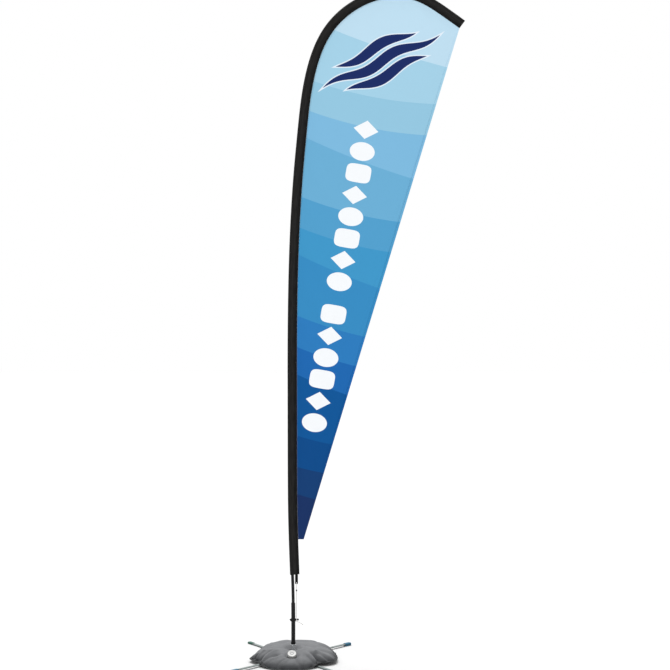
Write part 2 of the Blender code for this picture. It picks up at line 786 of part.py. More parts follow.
def build_pole(shop, line, body):
    """The foot tube, the four sections, their ferrules, the foot collar and the tip plug."""
    foot = shop.add(
        "foot_tube",
        tube_mesh("foot_tube", line, 0.0, FOOT_TUBE_LENGTH, (FOOT_TUBE_RADIUS,) * 2, 6),
        "black_composite",
        parent=body,
    )
    hollow(foot, FOOT_TUBE_RADIUS - FOOT_TUBE_BORE)
    lip_foot = CUP_SEAT + GAP
    shop.turned(
        "foot_collar",
        [
            (FOOT_TUBE_RADIUS + GAP, lip_foot + FOOT_COLLAR_HEIGHT),
            (FOOT_COLLAR_RADIUS - 0.0008, lip_foot + FOOT_COLLAR_HEIGHT),
            (FOOT_COLLAR_RADIUS, lip_foot + FOOT_COLLAR_HEIGHT - 0.002),
            (FOOT_COLLAR_RADIUS, lip_foot + 0.0015),
            (FOOT_COLLAR_RADIUS - 0.0010, lip_foot),
            (FOOT_TUBE_BORE, lip_foot),
            (FOOT_TUBE_BORE, POLE_FOOT - GAP),
            (FOOT_TUBE_RADIUS + GAP, POLE_FOOT - GAP),
        ],
        "black_plastic",
        closed=True,
        parent=body,
    )
    ends = (*SECTION_STARTS[1:], POLE_TIP)
    for i, (start, end, radii) in enumerate(zip(SECTION_STARTS, ends, SECTION_RADII)):
        name = f"pole_section_{i + 1}"
        solid = i == len(SECTION_WALLS)
        mesh = tube_mesh(name, line, start, end - GAP, radii, TUBE_RESOLUTION, capped=solid)
        section = shop.add(name, mesh, "black_composite", parent=body)
        if not solid:
            hollow(section, SECTION_WALLS[i])
    for i, joint in enumerate(SECTION_STARTS[1:]):
        name = f"pole_ferrule_{i + 1}"
        radius = SECTION_RADII[i][1] + FERRULE_CLEARANCE + FERRULE_WALL
        start = joint - FERRULE_HALF_LENGTH
        end = joint + FERRULE_HALF_LENGTH
        mesh = tube_mesh(name, line, start, end, (radius, radius), TUBE_RESOLUTION)
        ferrule = shop.add(name, mesh, "silver_ferrule", parent=body)
        hollow(ferrule, FERRULE_WALL)
    name = "pole_tip_plug"
    radii = (TIP_PLUG_RADIUS, TIP_PLUG_END_RADIUS)
    end = POLE_TIP + TIP_PLUG_LENGTH
    mesh = tube_mesh(name, line, POLE_TIP, end, radii, TUBE_RESOLUTION, capped=True)
    shop.add(name, mesh, "black_plastic", parent=body)


def sleeve_section(line, s, radius, seam, seam_half):
    """The sleeve's outline at arc length s: round over the pole, then drawn in to the stitched seam."""
    ring = []
    for degrees in range(SLEEVE_ROUND_START, 361 - SLEEVE_ROUND_START, SLEEVE_ROUND_STEP):
        turn = math.radians(degrees)
        ring.append((radius * math.cos(turn), radius * math.sin(turn)))
    middle = (radius + seam) / 2
    belly = radius * SLEEVE_BELLY
    ring += [(middle, -belly), (seam, -seam_half), (seam, seam_half), (middle, belly)]
    return [line.point(s, across=across, side=side) for across, side in ring]


def build_sleeve(shop, line, body):
    """The pole sleeve: a tapered fabric tube, open at its mouth and closed in a pocket at its end."""
    outer = [
        sleeve_section(line, s, SLEEVE_ROUND_RADIUS, SLEEVE_SEAM, SLEEVE_SEAM_HALF)
        for s in line.stations(SLEEVE_START, SLEEVE_END)
    ]
    inner = [
        sleeve_section(line, s, SLEEVE_ROUND_RADIUS - SLEEVE_WALL, SLEEVE_VOID_END, SLEEVE_SEAM_HALF)
        for s in line.stations(SLEEVE_START, SLEEVE_POCKET_END)
    ]
    mesh = lofted("pole_sleeve", inner[::-1] + outer, closed=False)
    shop.add("pole_sleeve", mesh, "black_satin", parent=body)


def build_flag(shop, line, body):
    """The printed panel, and the hems along its free edge and its tail."""
    seam = SLEEVE_SEAM + GAP
    edge = [line.point(s, across=seam) for s in line.stations(FLAG_START, SLEEVE_END)]
    top = edge[-1]
    tail = edge[0] + Vector((FLAG_TAIL_WIDTH, 0, 0))
    down = (tail - top).normalized()
    inward = Vector((down.z, 0, -down.x))
    hem_line = HEM_WIDTH * inward
    panel_line = (HEM_WIDTH + GAP) * inward
    hem_top = nearest_on_edge(edge, top + hem_line, down)
    panel_top = nearest_on_edge(edge, top + panel_line, down)
    low_line = edge[0].z + HEM_WIDTH + 2 * GAP
    panel_tail = point_at_height(top + panel_line, down, low_line)
    hem_foot = point_at_height(top + hem_line, down, edge[0].z)
    lowest = low_line + SHORTEST_EDGE
    farthest = panel_top.x - SHORTEST_EDGE
    kept = [point for point in edge if point.z > lowest and point.x < farthest]
    low_start = point_at_height_on_edge(edge, low_line)
    panel = [low_start, *[p for p in kept if before(p, panel_top, down)], panel_top, panel_tail]
    flat_in_xz(shop, "flag_panel", panel, FLAG_HALF_THICKNESS, "printed_polyester", body)
    last = [p for p in edge if not before(p, hem_top, down) and (p - top).length > SHORTEST_EDGE]
    free = [hem_foot, hem_top, *last, top, tail]
    flat_in_xz(shop, "free_edge_hem", free, HEM_HALF_THICKNESS, "hem_tape", body)
    hem_side = point_at_height(top + panel_line, down, edge[0].z)
    hem_up = point_at_height(top + panel_line, down, edge[0].z + HEM_WIDTH)
    side_up = point_at_height_on_edge(edge, edge[0].z + HEM_WIDTH)
    foot = [edge[0], side_up, hem_up, hem_side]
    flat_in_xz(shop, "tail_hem", foot, HEM_HALF_THICKNESS, "hem_tape", body)


def before(point, limit, down):
    """True where a seam point lies on the pole's side of a line parallel to the free edge."""
    across = Vector((down.z, 0, -down.x))
    return (point - limit).dot(across) > SHORTEST_EDGE / 2


def point_at_height(start, direction, height):
    """Where a slanted line from start reaches this height."""
    return start + direction * ((height - start.z) / direction.z)


def point_at_height_on_edge(edge, height):
    """Where the seam reaches this height on its way up."""
    for low, high in zip(edge, edge[1:]):
        if low.z <= height <= high.z:
            return low + (high - low) * ((height - low.z) / (high.z - low.z))
    return edge[0]


def nearest_on_edge(edge, start, down):
    """Where a line parallel to the free edge meets the seam near its top end."""
    across = Vector((down.z, 0, -down.x))
    for high, low in zip(edge[::-1], edge[-2::-1]):
        a = (high - start).dot(across)
        b = (low - start).dot(across)
        if a <= 0 <= b:
            return high + (low - high) * (a / (a - b))
    return edge[-1]


def flat_in_xz(shop, name, points, half_thickness, finish, body):
    """A flat piece in the XZ plane from its outline."""
    outline = [(point.x, point.z) for point in points]
    return shop.flat(name, outline, half_thickness, finish, parent=body, rotation=(math.pi / 2, 0, 0))


def cord_points():
    """The cord's route as closely spaced points on a smooth curve through the hand-set ones."""
    route = np.array(CORD_ROUTE)
    chord = np.concatenate([[0], np.cumsum(np.linalg.norm(np.diff(route, axis=0), axis=1))])
    fine = np.linspace(0, chord[-1], 2000)
    curve = np.stack([PoleLine.smooth(chord, route[:, i], fine) for i in range(3)], axis=1)
    walked = np.concatenate([[0], np.cumsum(np.linalg.norm(np.diff(curve, axis=0), axis=1))])
    even = np.linspace(0, walked[-1], CORD_SAMPLES)
    return [Vector([np.interp(s, walked, curve[:, i]) for i in range(3)]) for s in even]


def build_tension(shop, line, body, hook_axis):
    """The webbing tab with its eyelet, the elastic cord with what is on it, and the hook collar."""
    mouth = line.point(SLEEVE_START, across=SLEEVE_SEAM).z
    tab_top = mouth - 0.0004 - GAP
    eyelet_z = tab_top - TAB_LENGTH + EYELET_HEIGHT
    half = TAB_WIDTH / 2
    tab = [
        (TAB_X - half, tab_top),
        (TAB_X - half, tab_top - TAB_LENGTH + 0.003),
        (TAB_X - half + 0.003, tab_top - TAB_LENGTH),
        (TAB_X + half - 0.003, tab_top - TAB_LENGTH),
        (TAB_X + half, tab_top - TAB_LENGTH + 0.003),
        (TAB_X + half, tab_top),
    ]
    hole = circle(EYELET_BORE + 0.001 + GAP, 20, (TAB_X, eyelet_z))
    shop.flat(
        "webbing_tab",
        tab,
        TAB_HALF_THICKNESS,
        "black_webbing",
        holes=[hole],
        parent=body,
        rotation=(math.pi / 2, 0, 0),
    )
    lip = TAB_HALF_THICKNESS + GAP
    shop.turned(
        "tab_eyelet",
        [
            (EYELET_BORE, lip + 0.0008),
            (EYELET_RADIUS, lip + 0.0006),
            (EYELET_RADIUS, lip),
            (EYELET_BORE + 0.001, lip),
            (EYELET_BORE + 0.001, -lip - 0.0006),
            (EYELET_BORE, -lip - 0.0006),
        ],
        "brass",
        closed=True,
        steps=24,
        parent=body,
        location=(TAB_X, 0, eyelet_z),
        rotation=(math.pi / 2, 0, 0),
    )
    points = cord_points()
    curve = bpy.data.curves.new("elastic_cord", "CURVE")
    curve.dimensions = "3D"
    curve.bevel_depth = CORD_DIAMETER / 2
    curve.bevel_resolution = 2
    curve.use_fill_caps = True
    spline = curve.splines.new("POLY")
    spline.points.add(len(points) - 1)
    for place, point in zip(spline.points, points):
        place.co = (*point, 1)
    shop.add("elastic_cord", curve, "white_cord", parent=body)
    ends = {"cord_stop_knot": points[:2], "cord_tail_knot": points[:-3:-1]}
    for name, (end, beside) in ends.items():
        centre = end + (end - beside).normalized() * (KNOT_RADIUS + GAP)
        shop.add(name, ball_mesh(name, KNOT_RADIUS), "white_cord", parent=body, location=centre)
    clamp = min(points, key=lambda point: abs(point.z - CORD_CLAMP_Z))
    bore = CORD_DIAMETER / 2 + 2 * GAP
    shop.turned(
        "cord_clamp",
        ring_profile(bore, bore + CORD_CLAMP_WALL, -CORD_CLAMP_LENGTH / 2, CORD_CLAMP_LENGTH),
        "black_plastic",
        closed=True,
        steps=20,
        parent=body,
        location=clamp,
    )
    build_hook_collar(shop, hook_axis)


def build_hook_collar(shop, axis):
    """A collar round the foot tube, with a ball hook on one side and a cleat wedge on the other."""
    half = HOOK_COLLAR_HEIGHT / 2
    collar = shop.turned(
        "hook_collar",
        ring_profile(HOOK_COLLAR_BORE, HOOK_COLLAR_RADIUS, -half, HOOK_COLLAR_HEIGHT),
        "black_plastic",
        closed=True,
        parent=axis,
    )
    reach = HOOK_BALL_X - HOOK_COLLAR_RADIUS + 0.001
    neck = shop.cutter(
        "hook_neck",
        cylinder_mesh("hook_neck", HOOK_NECK_RADIUS, reach, segments=12),
        location=(HOOK_COLLAR_RADIUS - 0.001, 0, HOOK_BALL_RISE),
        rotation=(0, math.pi / 2, 0),
        parent=axis,
    )
    ball = shop.cutter(
        "hook_ball",
        ball_mesh("hook_ball", HOOK_BALL_RADIUS, segments=14, rings=8),
        location=(HOOK_BALL_X, 0, HOOK_BALL_RISE),
        parent=axis,
    )
    wedge = shop.cutter("hook_wedge", wedge_mesh("hook_wedge"), parent=axis)
    for piece in (neck, ball, wedge):
        boolean(collar, piece, "UNION")


def wedge_mesh(name):
    """The cleat: a triangle that stands out from the collar and narrows downwards, extruded across."""
    root = -(HOOK_COLLAR_RADIUS - 0.0015)
    sides = (-CLEAT_HALF_WIDTH, CLEAT_HALF_WIDTH)
    rings = [[Vector((root - out, side, z)) for out, z in CLEAT_OUTLINE] for side in sides]
    return lofted(name, rings, closed=False)


def main():
    """Build the whole flag."""
    clear_scene()
    shop = Workshop()
    line = PoleLine()
    lower_axis = shop.axis("lower_arm_axis", rotation=(0, 0, LOWER_ARM_ANGLE + math.pi))
    upper_axis = shop.axis("upper_arm_axis", rotation=(0, 0, UPPER_ARM_ANGLE))
    spindle_axis = shop.axis("spindle_axis")
    pole_axis = shop.axis("pole_axis", parent=spindle_axis)
    hook_line = HOOK_HEIGHT - POLE_FOOT
    lean = float(np.interp(hook_line, line.length, line.lean))
    hook_place = line.point(hook_line)
    hook_axis = shop.axis("hook_axis", location=hook_place, rotation=(0, lean, 0), parent=pole_axis)
    build_arm(shop, "lower_arm", LOWER_ARM_FOOT, lower_axis)
    build_arm(shop, "upper_arm", UPPER_ARM_FOOT, upper_axis)
    build_swivel(shop)
    build_rotor(shop, spindle_axis)
    build_bag(shop)
    build_pole(shop, line, pole_axis)
    build_sleeve(shop, line, pole_axis)
    build_flag(shop, line, pole_axis)
    build_tension(shop, line, pole_axis, hook_axis)


main()
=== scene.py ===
"""Looks of a teardrop flag: its cloth, cord, water bag and every finish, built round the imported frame.

Every piece is in metres in the frame's own axes: +Z up, the flag flies towards +X, and its printed face
looks along -Y.
"""

import logging
import math
from collections.abc import Iterable
from dataclasses import dataclass
from enum import Enum

import bmesh
import bpy
import numpy as np
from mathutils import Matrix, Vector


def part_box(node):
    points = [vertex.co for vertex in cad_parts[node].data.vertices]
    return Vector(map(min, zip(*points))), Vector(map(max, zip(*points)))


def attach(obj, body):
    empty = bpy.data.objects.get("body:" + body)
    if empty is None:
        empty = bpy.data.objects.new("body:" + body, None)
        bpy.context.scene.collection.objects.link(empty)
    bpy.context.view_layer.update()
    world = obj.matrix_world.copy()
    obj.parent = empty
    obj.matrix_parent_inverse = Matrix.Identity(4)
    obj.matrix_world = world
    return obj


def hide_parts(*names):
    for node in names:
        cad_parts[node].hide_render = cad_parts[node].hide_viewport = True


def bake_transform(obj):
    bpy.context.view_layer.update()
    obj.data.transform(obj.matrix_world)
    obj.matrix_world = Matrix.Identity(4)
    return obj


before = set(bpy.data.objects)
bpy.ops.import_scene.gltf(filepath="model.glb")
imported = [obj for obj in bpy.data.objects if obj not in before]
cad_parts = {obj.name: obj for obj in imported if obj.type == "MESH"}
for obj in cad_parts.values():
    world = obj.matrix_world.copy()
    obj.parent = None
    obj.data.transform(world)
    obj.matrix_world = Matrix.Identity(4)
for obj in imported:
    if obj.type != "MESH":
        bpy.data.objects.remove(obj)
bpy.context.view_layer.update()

LOG = logging.getLogger("teardrop_flag")
Array = np.ndarray
Node = bpy.types.Node
Piece = bpy.types.Object
MILLIMETRE = 0.001

# The pole's foot, and its lean from the vertical in degrees at arc lengths above the foot, as in the
# solid model.
POLE_FOOT = 0.0903
POLE_LEAN = (
    (0.00, 0.0), (0.12, 0.0), (0.45, -2.1), (1.00, -0.3), (1.80, 0.1), (2.50, 2.3), (3.00, 5.1),
    (3.40, 8.4), (3.70, 21.7), (4.00, 50.9), (4.30, 82.0), (4.60, 121.2), (4.83, 126.7),
)

# The elastic cord's route from the stop knot behind the eyelet to the tail knot, as in the solid model.
CORD_ROUTE = (
    (0.0200, 0.0090, 0.4730), (0.0200, 0.0020, 0.4733), (0.0200, -0.0050, 0.4715),
    (0.0200, -0.0095, 0.4640), (0.0201, -0.0102, 0.4540), (0.0202, -0.0088, 0.4300),
    (0.0203, -0.0080, 0.4000), (0.0205, -0.0076, 0.3500), (0.0207, -0.0074, 0.3000),
    (0.0207, -0.0074, 0.2620), (0.0206, -0.0074, 0.2490), (0.0206, -0.0058, 0.2380),
    (0.0220, -0.0015, 0.2320), (0.0270, 0.0010, 0.2290), (0.0350, 0.0005, 0.2255),
    (0.0450, -0.0010, 0.2205), (0.0550, -0.0025, 0.2150),
)


class Body(str, Enum):
    """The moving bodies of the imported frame."""

    BASE = "base"
    UPPER_ARM = "upper_arm"
    CAP = "bag_cap"
    SPINDLE = "spindle"
    POLE = "pole_and_flag"
    HOOK = "hook_collar"


# ------------------------------------------------------------
# Arrays and meshes
# ------------------------------------------------------------


def smooth_curve(knots: Array, values: Array, at: Array) -> Array:
    """A cubic curve through the values, whose slope at each knot is the mean slope beside it.

    Args:
        knots: places of the values, rising.
        values: one value for each knot.
        at: places to read the curve at.

    Returns:
        The curve's value at each place.
    """
    slope = np.gradient(values, knots)
    i = np.clip(np.searchsorted(knots, at, side="right") - 1, 0, len(knots) - 2)
    span = knots[i + 1] - knots[i]
    u = (at - knots[i]) / span
    start = (2 * u**3 - 3 * u**2 + 1) * values[i] + (u**3 - 2 * u**2 + u) * span * slope[i]
    end = (3 * u**2 - 2 * u**3) * values[i + 1] + (u**3 - u**2) * span * slope[i + 1]
    return start + end


def ease(low: float, high: float, value: Array) -> Array:
    """0 below low, 1 above high, and a smooth rise between."""
    t = np.clip((value - low) / (high - low), 0.0, 1.0)
    return t * t * (3 - 2 * t)


def whole_turn(sides: int) -> Array:
    """The angles of a whole turn in equal steps, both of its ends included."""
    return np.linspace(0, 2 * math.pi, sides + 1)


def unit(vectors: Array) -> Array:
    """The vectors, each scaled to length 1."""
    return vectors / np.linalg.norm(vectors, axis=-1, keepdims=True)


def lengths_along(path: Array) -> Array:
    """How far along a path each of its points lies."""
    return np.concatenate([[0], np.cumsum(np.linalg.norm(np.diff(path, axis=0), axis=1))])


def stacked(*parts: Array) -> Array:
    """Arrays that fill one grid between them, as one array with a value from each at every point."""
    return np.stack(np.broadcast_arrays(*parts), axis=-1)


def grid_quads(rows: int, columns: int) -> Array:
    """The quads of a grid whose points are stored row by row.

    Args:
        rows: points along the first parameter.
        columns: points along the second one.

    Returns:
        An array of four point numbers for each quad.
    """
    index = np.arange(rows * columns).reshape(rows, columns)
    corners = (index[:-1, :-1], index[1:, :-1], index[1:, 1:], index[:-1, 1:])
    return np.stack([corner.ravel() for corner in corners], axis=1)


@dataclass
class Sheet:
    """A surface as a grid of points, rows by columns by 3, with a UV pair in metres for each point."""

    points: Array
    uv: Array

    def quads(self) -> Array:
        """The quads of this grid."""
        return grid_quads(*self.points.shape[:2])


def make_piece(name: str, sheets: list[Sheet], finish: "Finish", sharp: float = 35.0) -> Piece:
    """Turns grids into one mesh object: the points that coincide are welded and the faces point outwards.

    Args:
        name: the piece's name.
        sheets: the grids that make it up.
        finish: what it is made of.
        sharp: the angle in degrees above which an edge stays sharp.

    Returns:
        The object, at the origin, with its place in its mesh.
    """
    counts = np.cumsum([0] + [sheet.points.shape[0] * sheet.points.shape[1] for sheet in sheets])
    points = np.concatenate([sheet.points.reshape(-1, 3) for sheet in sheets])
    uv = np.concatenate([sheet.uv.reshape(-1, 2) for sheet in sheets])
    quads = np.concatenate([sheet.quads() + start for sheet, start in zip(sheets, counts)])
    mesh = bpy.data.meshes.new(name)
    mesh.from_pydata(points.tolist(), [], quads.tolist())
    layer = mesh.uv_layers.new(name="lay")
    loops = np.empty(len(mesh.loops), np.int32)
    mesh.loops.foreach_get("vertex_index", loops)
    layer.data.foreach_set("uv", uv[loops].astype(np.float32).ravel())
    shape = bmesh.new()
    shape.from_mesh(mesh)
    bmesh.ops.remove_doubles(shape, verts=shape.verts, dist=2e-6)
    bmesh.ops.dissolve_degenerate(shape, edges=shape.edges, dist=1e-6)
    bmesh.ops.recalc_face_normals(shape, faces=shape.faces)
    shape.to_mesh(mesh)
    shape.free()
    mesh.shade_smooth()
    mesh.set_sharp_from_angle(angle=math.radians(sharp))
    mesh.materials.append(finish.material())
    made = bpy.data.objects.new(name, mesh)
    bpy.context.scene.collection.objects.link(made)
    LOG.info("%s: %d points", name, len(mesh.vertices))
    return made


def settle(piece: Piece, body: Body, slot: str, *nodes: str) -> None:
    """Rides a piece on its body, and lets it stand for its CAD nodes, which it hides."""
    if nodes:
        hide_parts(*nodes)
    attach(piece, body.value)


def wall(piece: Piece, thickness: float, offset: float = -1.0) -> None:
    """Gives a sheet its thickness: inwards at offset -1, and both ways at 0."""
    solid = piece.modifiers.new("wall", "SOLIDIFY")
    solid.thickness = thickness
    solid.offset = offset


def turned(profile: Array, sides: int = 72, ridges: int = 0, depth: float = 0.0) -> Sheet:
    """A profile turned round the Z axis: each (radius, height) pair becomes a ring.

    Args:
        profile: pairs of radius and height.
        sides: steps round the axis.
        ridges: grip ridges round it, on pairs whose third value is 1.
        depth: depth of the grooves between the ridges.

    Returns:
        The turned surface.
    """
    turn = whole_turn(sides)
    radius = profile[:, 0, None] * np.ones_like(turn)
    if ridges:
        groove = 0.5 - 0.5 * np.cos(ridges * turn)
        radius = radius - depth * profile[:, 2, None] * groove**2
    height = profile[:, 1, None] * np.ones_like(turn)
    points = stacked(radius * np.cos(turn), radius * np.sin(turn), height)
    along = lengths_along(profile[:, :2])
    uv = stacked(along[:, None], turn * profile[:, 0].max())
    return Sheet(points, uv)


def placed(sheet: Sheet, tilt_x: float, centre: tuple[float, float, float]) -> Sheet:
    """The surface leant about the X axis by an angle, then moved to its centre."""
    c, s = math.cos(tilt_x), math.sin(tilt_x)
    lean = np.array([[1, 0, 0], [0, c, -s], [0, s, c]])
    return Sheet(sheet.points @ lean.T + np.array(centre), sheet.uv)


def tube(path: Array, normal: Array, radius: Array, sides: int, capped: bool) -> Sheet:
    """A round tube: at each point of the path, a circle in the plane of the normal and the binormal.

    Args:
        path: points along the middle.
        normal: a direction for each point that is never along the path.
        radius: the tube's radius at each point.
        sides: steps round it.
        capped: close each end with a shallow dome.

    Returns:
        The tube's surface.
    """
    tangent = np.gradient(path, axis=0)
    if np.allclose(path[0], path[-1]):
        tangent[[0, -1]] = path[1] - path[-2]
    tangent = unit(tangent)
    first = unit(np.cross(tangent, normal))
    second = np.cross(tangent, first)
    if capped:
        bulge = radius[0] * 0.5
        starts = path[0] - tangent[0] * bulge * np.array([[1.0], [0.75]])
        ends = path[-1] + tangent[-1] * bulge * np.array([[0.75], [1.0]])
        path = np.concatenate([starts, path, ends])
        radius = np.concatenate([[0.0, radius[0] * 0.7], radius, [radius[-1] * 0.7, 0.0]])
        first = np.concatenate([first[:1]] * 2 + [first] + [first[-1:]] * 2)
        second = np.concatenate([second[:1]] * 2 + [second] + [second[-1:]] * 2)
    turn = whole_turn(sides)
    spoke = np.cos(turn)[:, None] * first[:, None, :] + np.sin(turn)[:, None] * second[:, None, :]
    points = path[:, None, :] + radius[:, None, None] * spoke
    along = lengths_along(path)
    uv = stacked(along[:, None], turn / (2 * math.pi))
    return Sheet(points, uv)


def stitches(line: Array, outward: float, pitch: float, length: float, radius: float) -> list[Sheet]:
    """A row of lock stitches: short spindles of thread along a line, half sunk in the cloth.

    Each is a circle carried along its own bit of the line, whose radius goes from 0 to full and back to 0.

    Args:
        line: points along the row, close together.
        outward: the way the cloth faces, as 1 or -1 along Y.
        pitch: distance from stitch to stitch.
        length: length of each stitch.
        radius: radius of the thread.

    Returns:
        One small closed surface for each stitch.
    """
    walked = lengths_along(line)
    centres = np.arange(pitch, walked[-1] - pitch, pitch)
    at = centres[:, None] + length * np.array([-0.5, -0.36, 0.36, 0.5])
    middle = stacked(*(np.interp(at, walked, line[:, i]) for i in range(3)))
    along = middle[:, -1] - middle[:, 0]
    along = unit(along)
    out = np.array([0.0, outward, 0.0]) * np.ones_like(along)
    across = np.cross(along, out)
    turn = whole_turn(6)[:, None]
    spoke = np.cos(turn) * out[:, None, :] + np.sin(turn) * across[:, None, :]
    thick = radius * np.array([0.0, 1.0, 1.0, 0.0])
    points = middle[:, :, None, :] + thick[None, :, None, None] * spoke[:, None]
    return [Sheet(each, each[..., [0, 2]]) for each in points]


class PoleLine:
    """The pole's bent centre line in the XZ plane, worked out from its lean along its length."""

    SAMPLES = 4001

    def __init__(self) -> None:
        """Adds up short steps along the lean: sine across and cosine up."""
        knots, lean = np.array(POLE_LEAN).T
        self.length = np.linspace(0, knots[-1], self.SAMPLES)
        self.lean = np.radians(smooth_curve(knots, lean, self.length))
        step = self.length[1]
        across = (np.sin(self.lean[1:]) + np.sin(self.lean[:-1])) * step / 2
        up = (np.cos(self.lean[1:]) + np.cos(self.lean[:-1])) * step / 2
        self.x = np.concatenate([[0], np.cumsum(across)])
        self.z = POLE_FOOT + np.concatenate([[0], np.cumsum(up)])

    def points(self, s: Array, across: Array | float = 0.0, side: Array | float = 0.0) -> Array:
        """Points beside the line.

        Args:
            s: arc lengths above the foot.
            across: distances towards the flag, square to the line.
            side: distances along Y.

        Returns:
            The points, with a last axis of 3.
        """
        lean = np.interp(s, self.length, self.lean)
        x = np.interp(s, self.length, self.x) + across * np.cos(lean)
        z = np.interp(s, self.length, self.z) - across * np.sin(lean)
        return stacked(x, side, z)


# ------------------------------------------------------------
# Finishes
# ------------------------------------------------------------


def linear(colour: str) -> tuple[float, float, float, float]:
    """An sRGB hex colour such as #8a9096 as linear red, green, blue and alpha."""
    parts = np.array([int(colour[i : i + 2], 16) for i in (1, 3, 5)]) / 255
    low = parts / 12.92
    high = ((parts + 0.055) / 1.055) ** 2.4
    return (*np.where(parts <= 0.04045, low, high).tolist(), 1.0)


class Recipe:
    """One material's nodes: its shader, and a point's place on its object (at) and UV map (lay)."""

    def __init__(self, name: str) -> None:
        """Makes the material with its shader and its texture coordinates."""
        self.material = bpy.data.materials.new(name)
        self.material.use_nodes = True
        self.tree = self.material.node_tree
        self.shader = self.tree.nodes["Principled BSDF"]
        place = self.tree.nodes.new("ShaderNodeTexCoord")
        self.at, self.lay = place.outputs["Object"], place.outputs["UV"]

    def give(self, inputs: dict, node: Node | None = None) -> None:
        """Fills the inputs of a node, or of the shader, from nodes, sockets or plain values."""
        into = node or self.shader
        for name, value in inputs.items():
            if isinstance(value, Node):
                value = value.outputs[0]
            if isinstance(value, bpy.types.NodeSocket):
                self.tree.links.new(value, into.inputs[name])
            else:
                into.inputs[name].default_value = value

    def add(self, kind: str, inputs: dict, stops: Iterable[tuple] = (), **settings) -> Node:
        """Adds a shader node with its settings and links.

        Args:
            kind: the node's type without its ShaderNode prefix.
            inputs: for each input, a node (its first output), a socket or a plain value.
            stops: a colour ramp's pairs of place and colour, rising.
            **settings: the node's own properties.

        Returns:
            The new node.
        """
        made = self.tree.nodes.new("ShaderNode" + kind)
        for name, value in settings.items():
            setattr(made, name, value)
        self.give(inputs, made)
        for i, (at, colour) in enumerate(stops):
            elements = made.color_ramp.elements
            stop = elements[i] if i < len(elements) else elements.new(at)
            stop.position = at
            stop.color = linear(colour) if isinstance(colour, str) else colour
        return made

    def spiral(self, pitch: float, strands: float) -> Node:
        """A count that grows by 1 each pitch along the UV map and by the strands in a turn round it."""
        wound = self.add("Mapping", {"Vector": self.lay, "Scale": (1 / pitch, strands, 0)})
        parts = self.add("SeparateXYZ", {"Vector": wound})
        return self.add("Math", {0: parts, 1: parts.outputs["Y"]}, operation="ADD")

    def relief(self, *layers: tuple[Node | bpy.types.NodeSocket, float, float]) -> None:
        """Lifts the surface by layers of height, strength and depth in metres, one over another."""
        under: dict = {}
        for height, strength, depth in layers:
            raised = {"Height": height, "Strength": strength, "Distance": depth}
            under = {"Normal": self.add("Bump", {**raised, **under})}
        self.give(under)


@dataclass(frozen=True)
class Finish:
    """A finish with its colour, roughness and metallic value; the kinds below add what the eye sees."""

    name: str
    colour: str
    roughness: float
    metallic: float = 0.0

    def material(self) -> bpy.types.Material:
        """The material, made once."""
        found = bpy.data.materials.get(self.name)
        if found:
            return found
        mix = Recipe(self.name)
        mix.give({"Base Color": linear(self.colour), "Roughness": self.roughness})
        mix.give({"Metallic": self.metallic})
        self.work(mix)
        return mix.material

    def work(self, mix: Recipe) -> None:
        """Adds the finish's own texture."""

    def mottle(self, mix: Recipe, size: float, amount: float) -> None:
        """Lets the colour drift a little either way in cloudy patches, as every real surface does.

        Args:
            mix: the material's nodes.
            size: width of the patches in metres.
            amount: share by which the brightest and darkest patches differ from the colour.
        """
        cloud = mix.add("TexNoise", {"Vector": mix.at, "Scale": 1 / size, "Detail": 4.0})
        shade = linear(self.colour)[:3]
        ends = [(*(min(1.0, part * share) for part in shade), 1.0) for share in (1 - amount, 1 + amount)]
        mix.give({"Base Color": mix.add("ValToRGB", {"Fac": cloud}, stops=zip((0.3, 0.7), ends))})

    def roughen(self, mix: Recipe, size: float, spread: float) -> None:
        """Lets the roughness vary in patches, from handling and dust.

        Args:
            mix: the material's nodes.
            size: width of the patches in metres.
            spread: how far the roughness goes either way.
        """
        cloud = mix.add("TexNoise", {"Vector": mix.at, "Scale": 1 / size, "Detail": 6.0})
        low, high = self.roughness - spread, self.roughness + spread
        ends = {"From Min": 0.3, "From Max": 0.7, "To Min": low, "To Max": high}
        mix.give({"Roughness": mix.add("MapRange", {"Value": cloud, **ends})})


@dataclass(frozen=True)
class GrainedMetal(Finish):
    """Metal whose tool or roller left fine lines one way, which stretch each highlight across them."""

    turn: float = 0.0
    line: float = 0.6 * MILLIMETRE
    depth: float = 0.02 * MILLIMETRE
    gloss: float = 0.5

    def work(self, mix: Recipe) -> None:
        """Long thin noise along the grain moves the roughness and lifts the surface a hair."""
        self.mottle(mix, 0.05, 0.10)
        drawn_out = {"Rotation": (0, 0, -self.turn), "Scale": (0.02, 1, 1)}
        along = mix.add("Mapping", {"Vector": mix.at, **drawn_out})
        lines = mix.add("TexNoise", {"Vector": along, "Scale": 1 / self.line, "Detail": 3.0})
        low, high = self.roughness - 0.1, self.roughness + 0.12
        mix.give({"Roughness": mix.add("MapRange", {"Value": lines, "To Min": low, "To Max": high})})
        mix.give({"Specular IOR Level": self.gloss})
        mix.relief((lines, 0.4, self.depth))


@dataclass(frozen=True)
class MouldedPlastic(Finish):
    """Injection moulded plastic: a spark-eroded grain that breaks up the gloss, and slight flow marks."""

    grain: float = 0.7 * MILLIMETRE
    depth: float = 0.05 * MILLIMETRE
    gloss: float = 0.5

    def work(self, mix: Recipe) -> None:
        """Cell noise of the grain's size lifts the surface."""
        mix.give({"Specular IOR Level": self.gloss})
        self.mottle(mix, 0.02, 0.06)
        self.roughen(mix, 0.012, 0.06)
        mix.relief((mix.add("TexVoronoi", {"Vector": mix.at, "Scale": 1 / self.grain}), 0.35, self.depth))


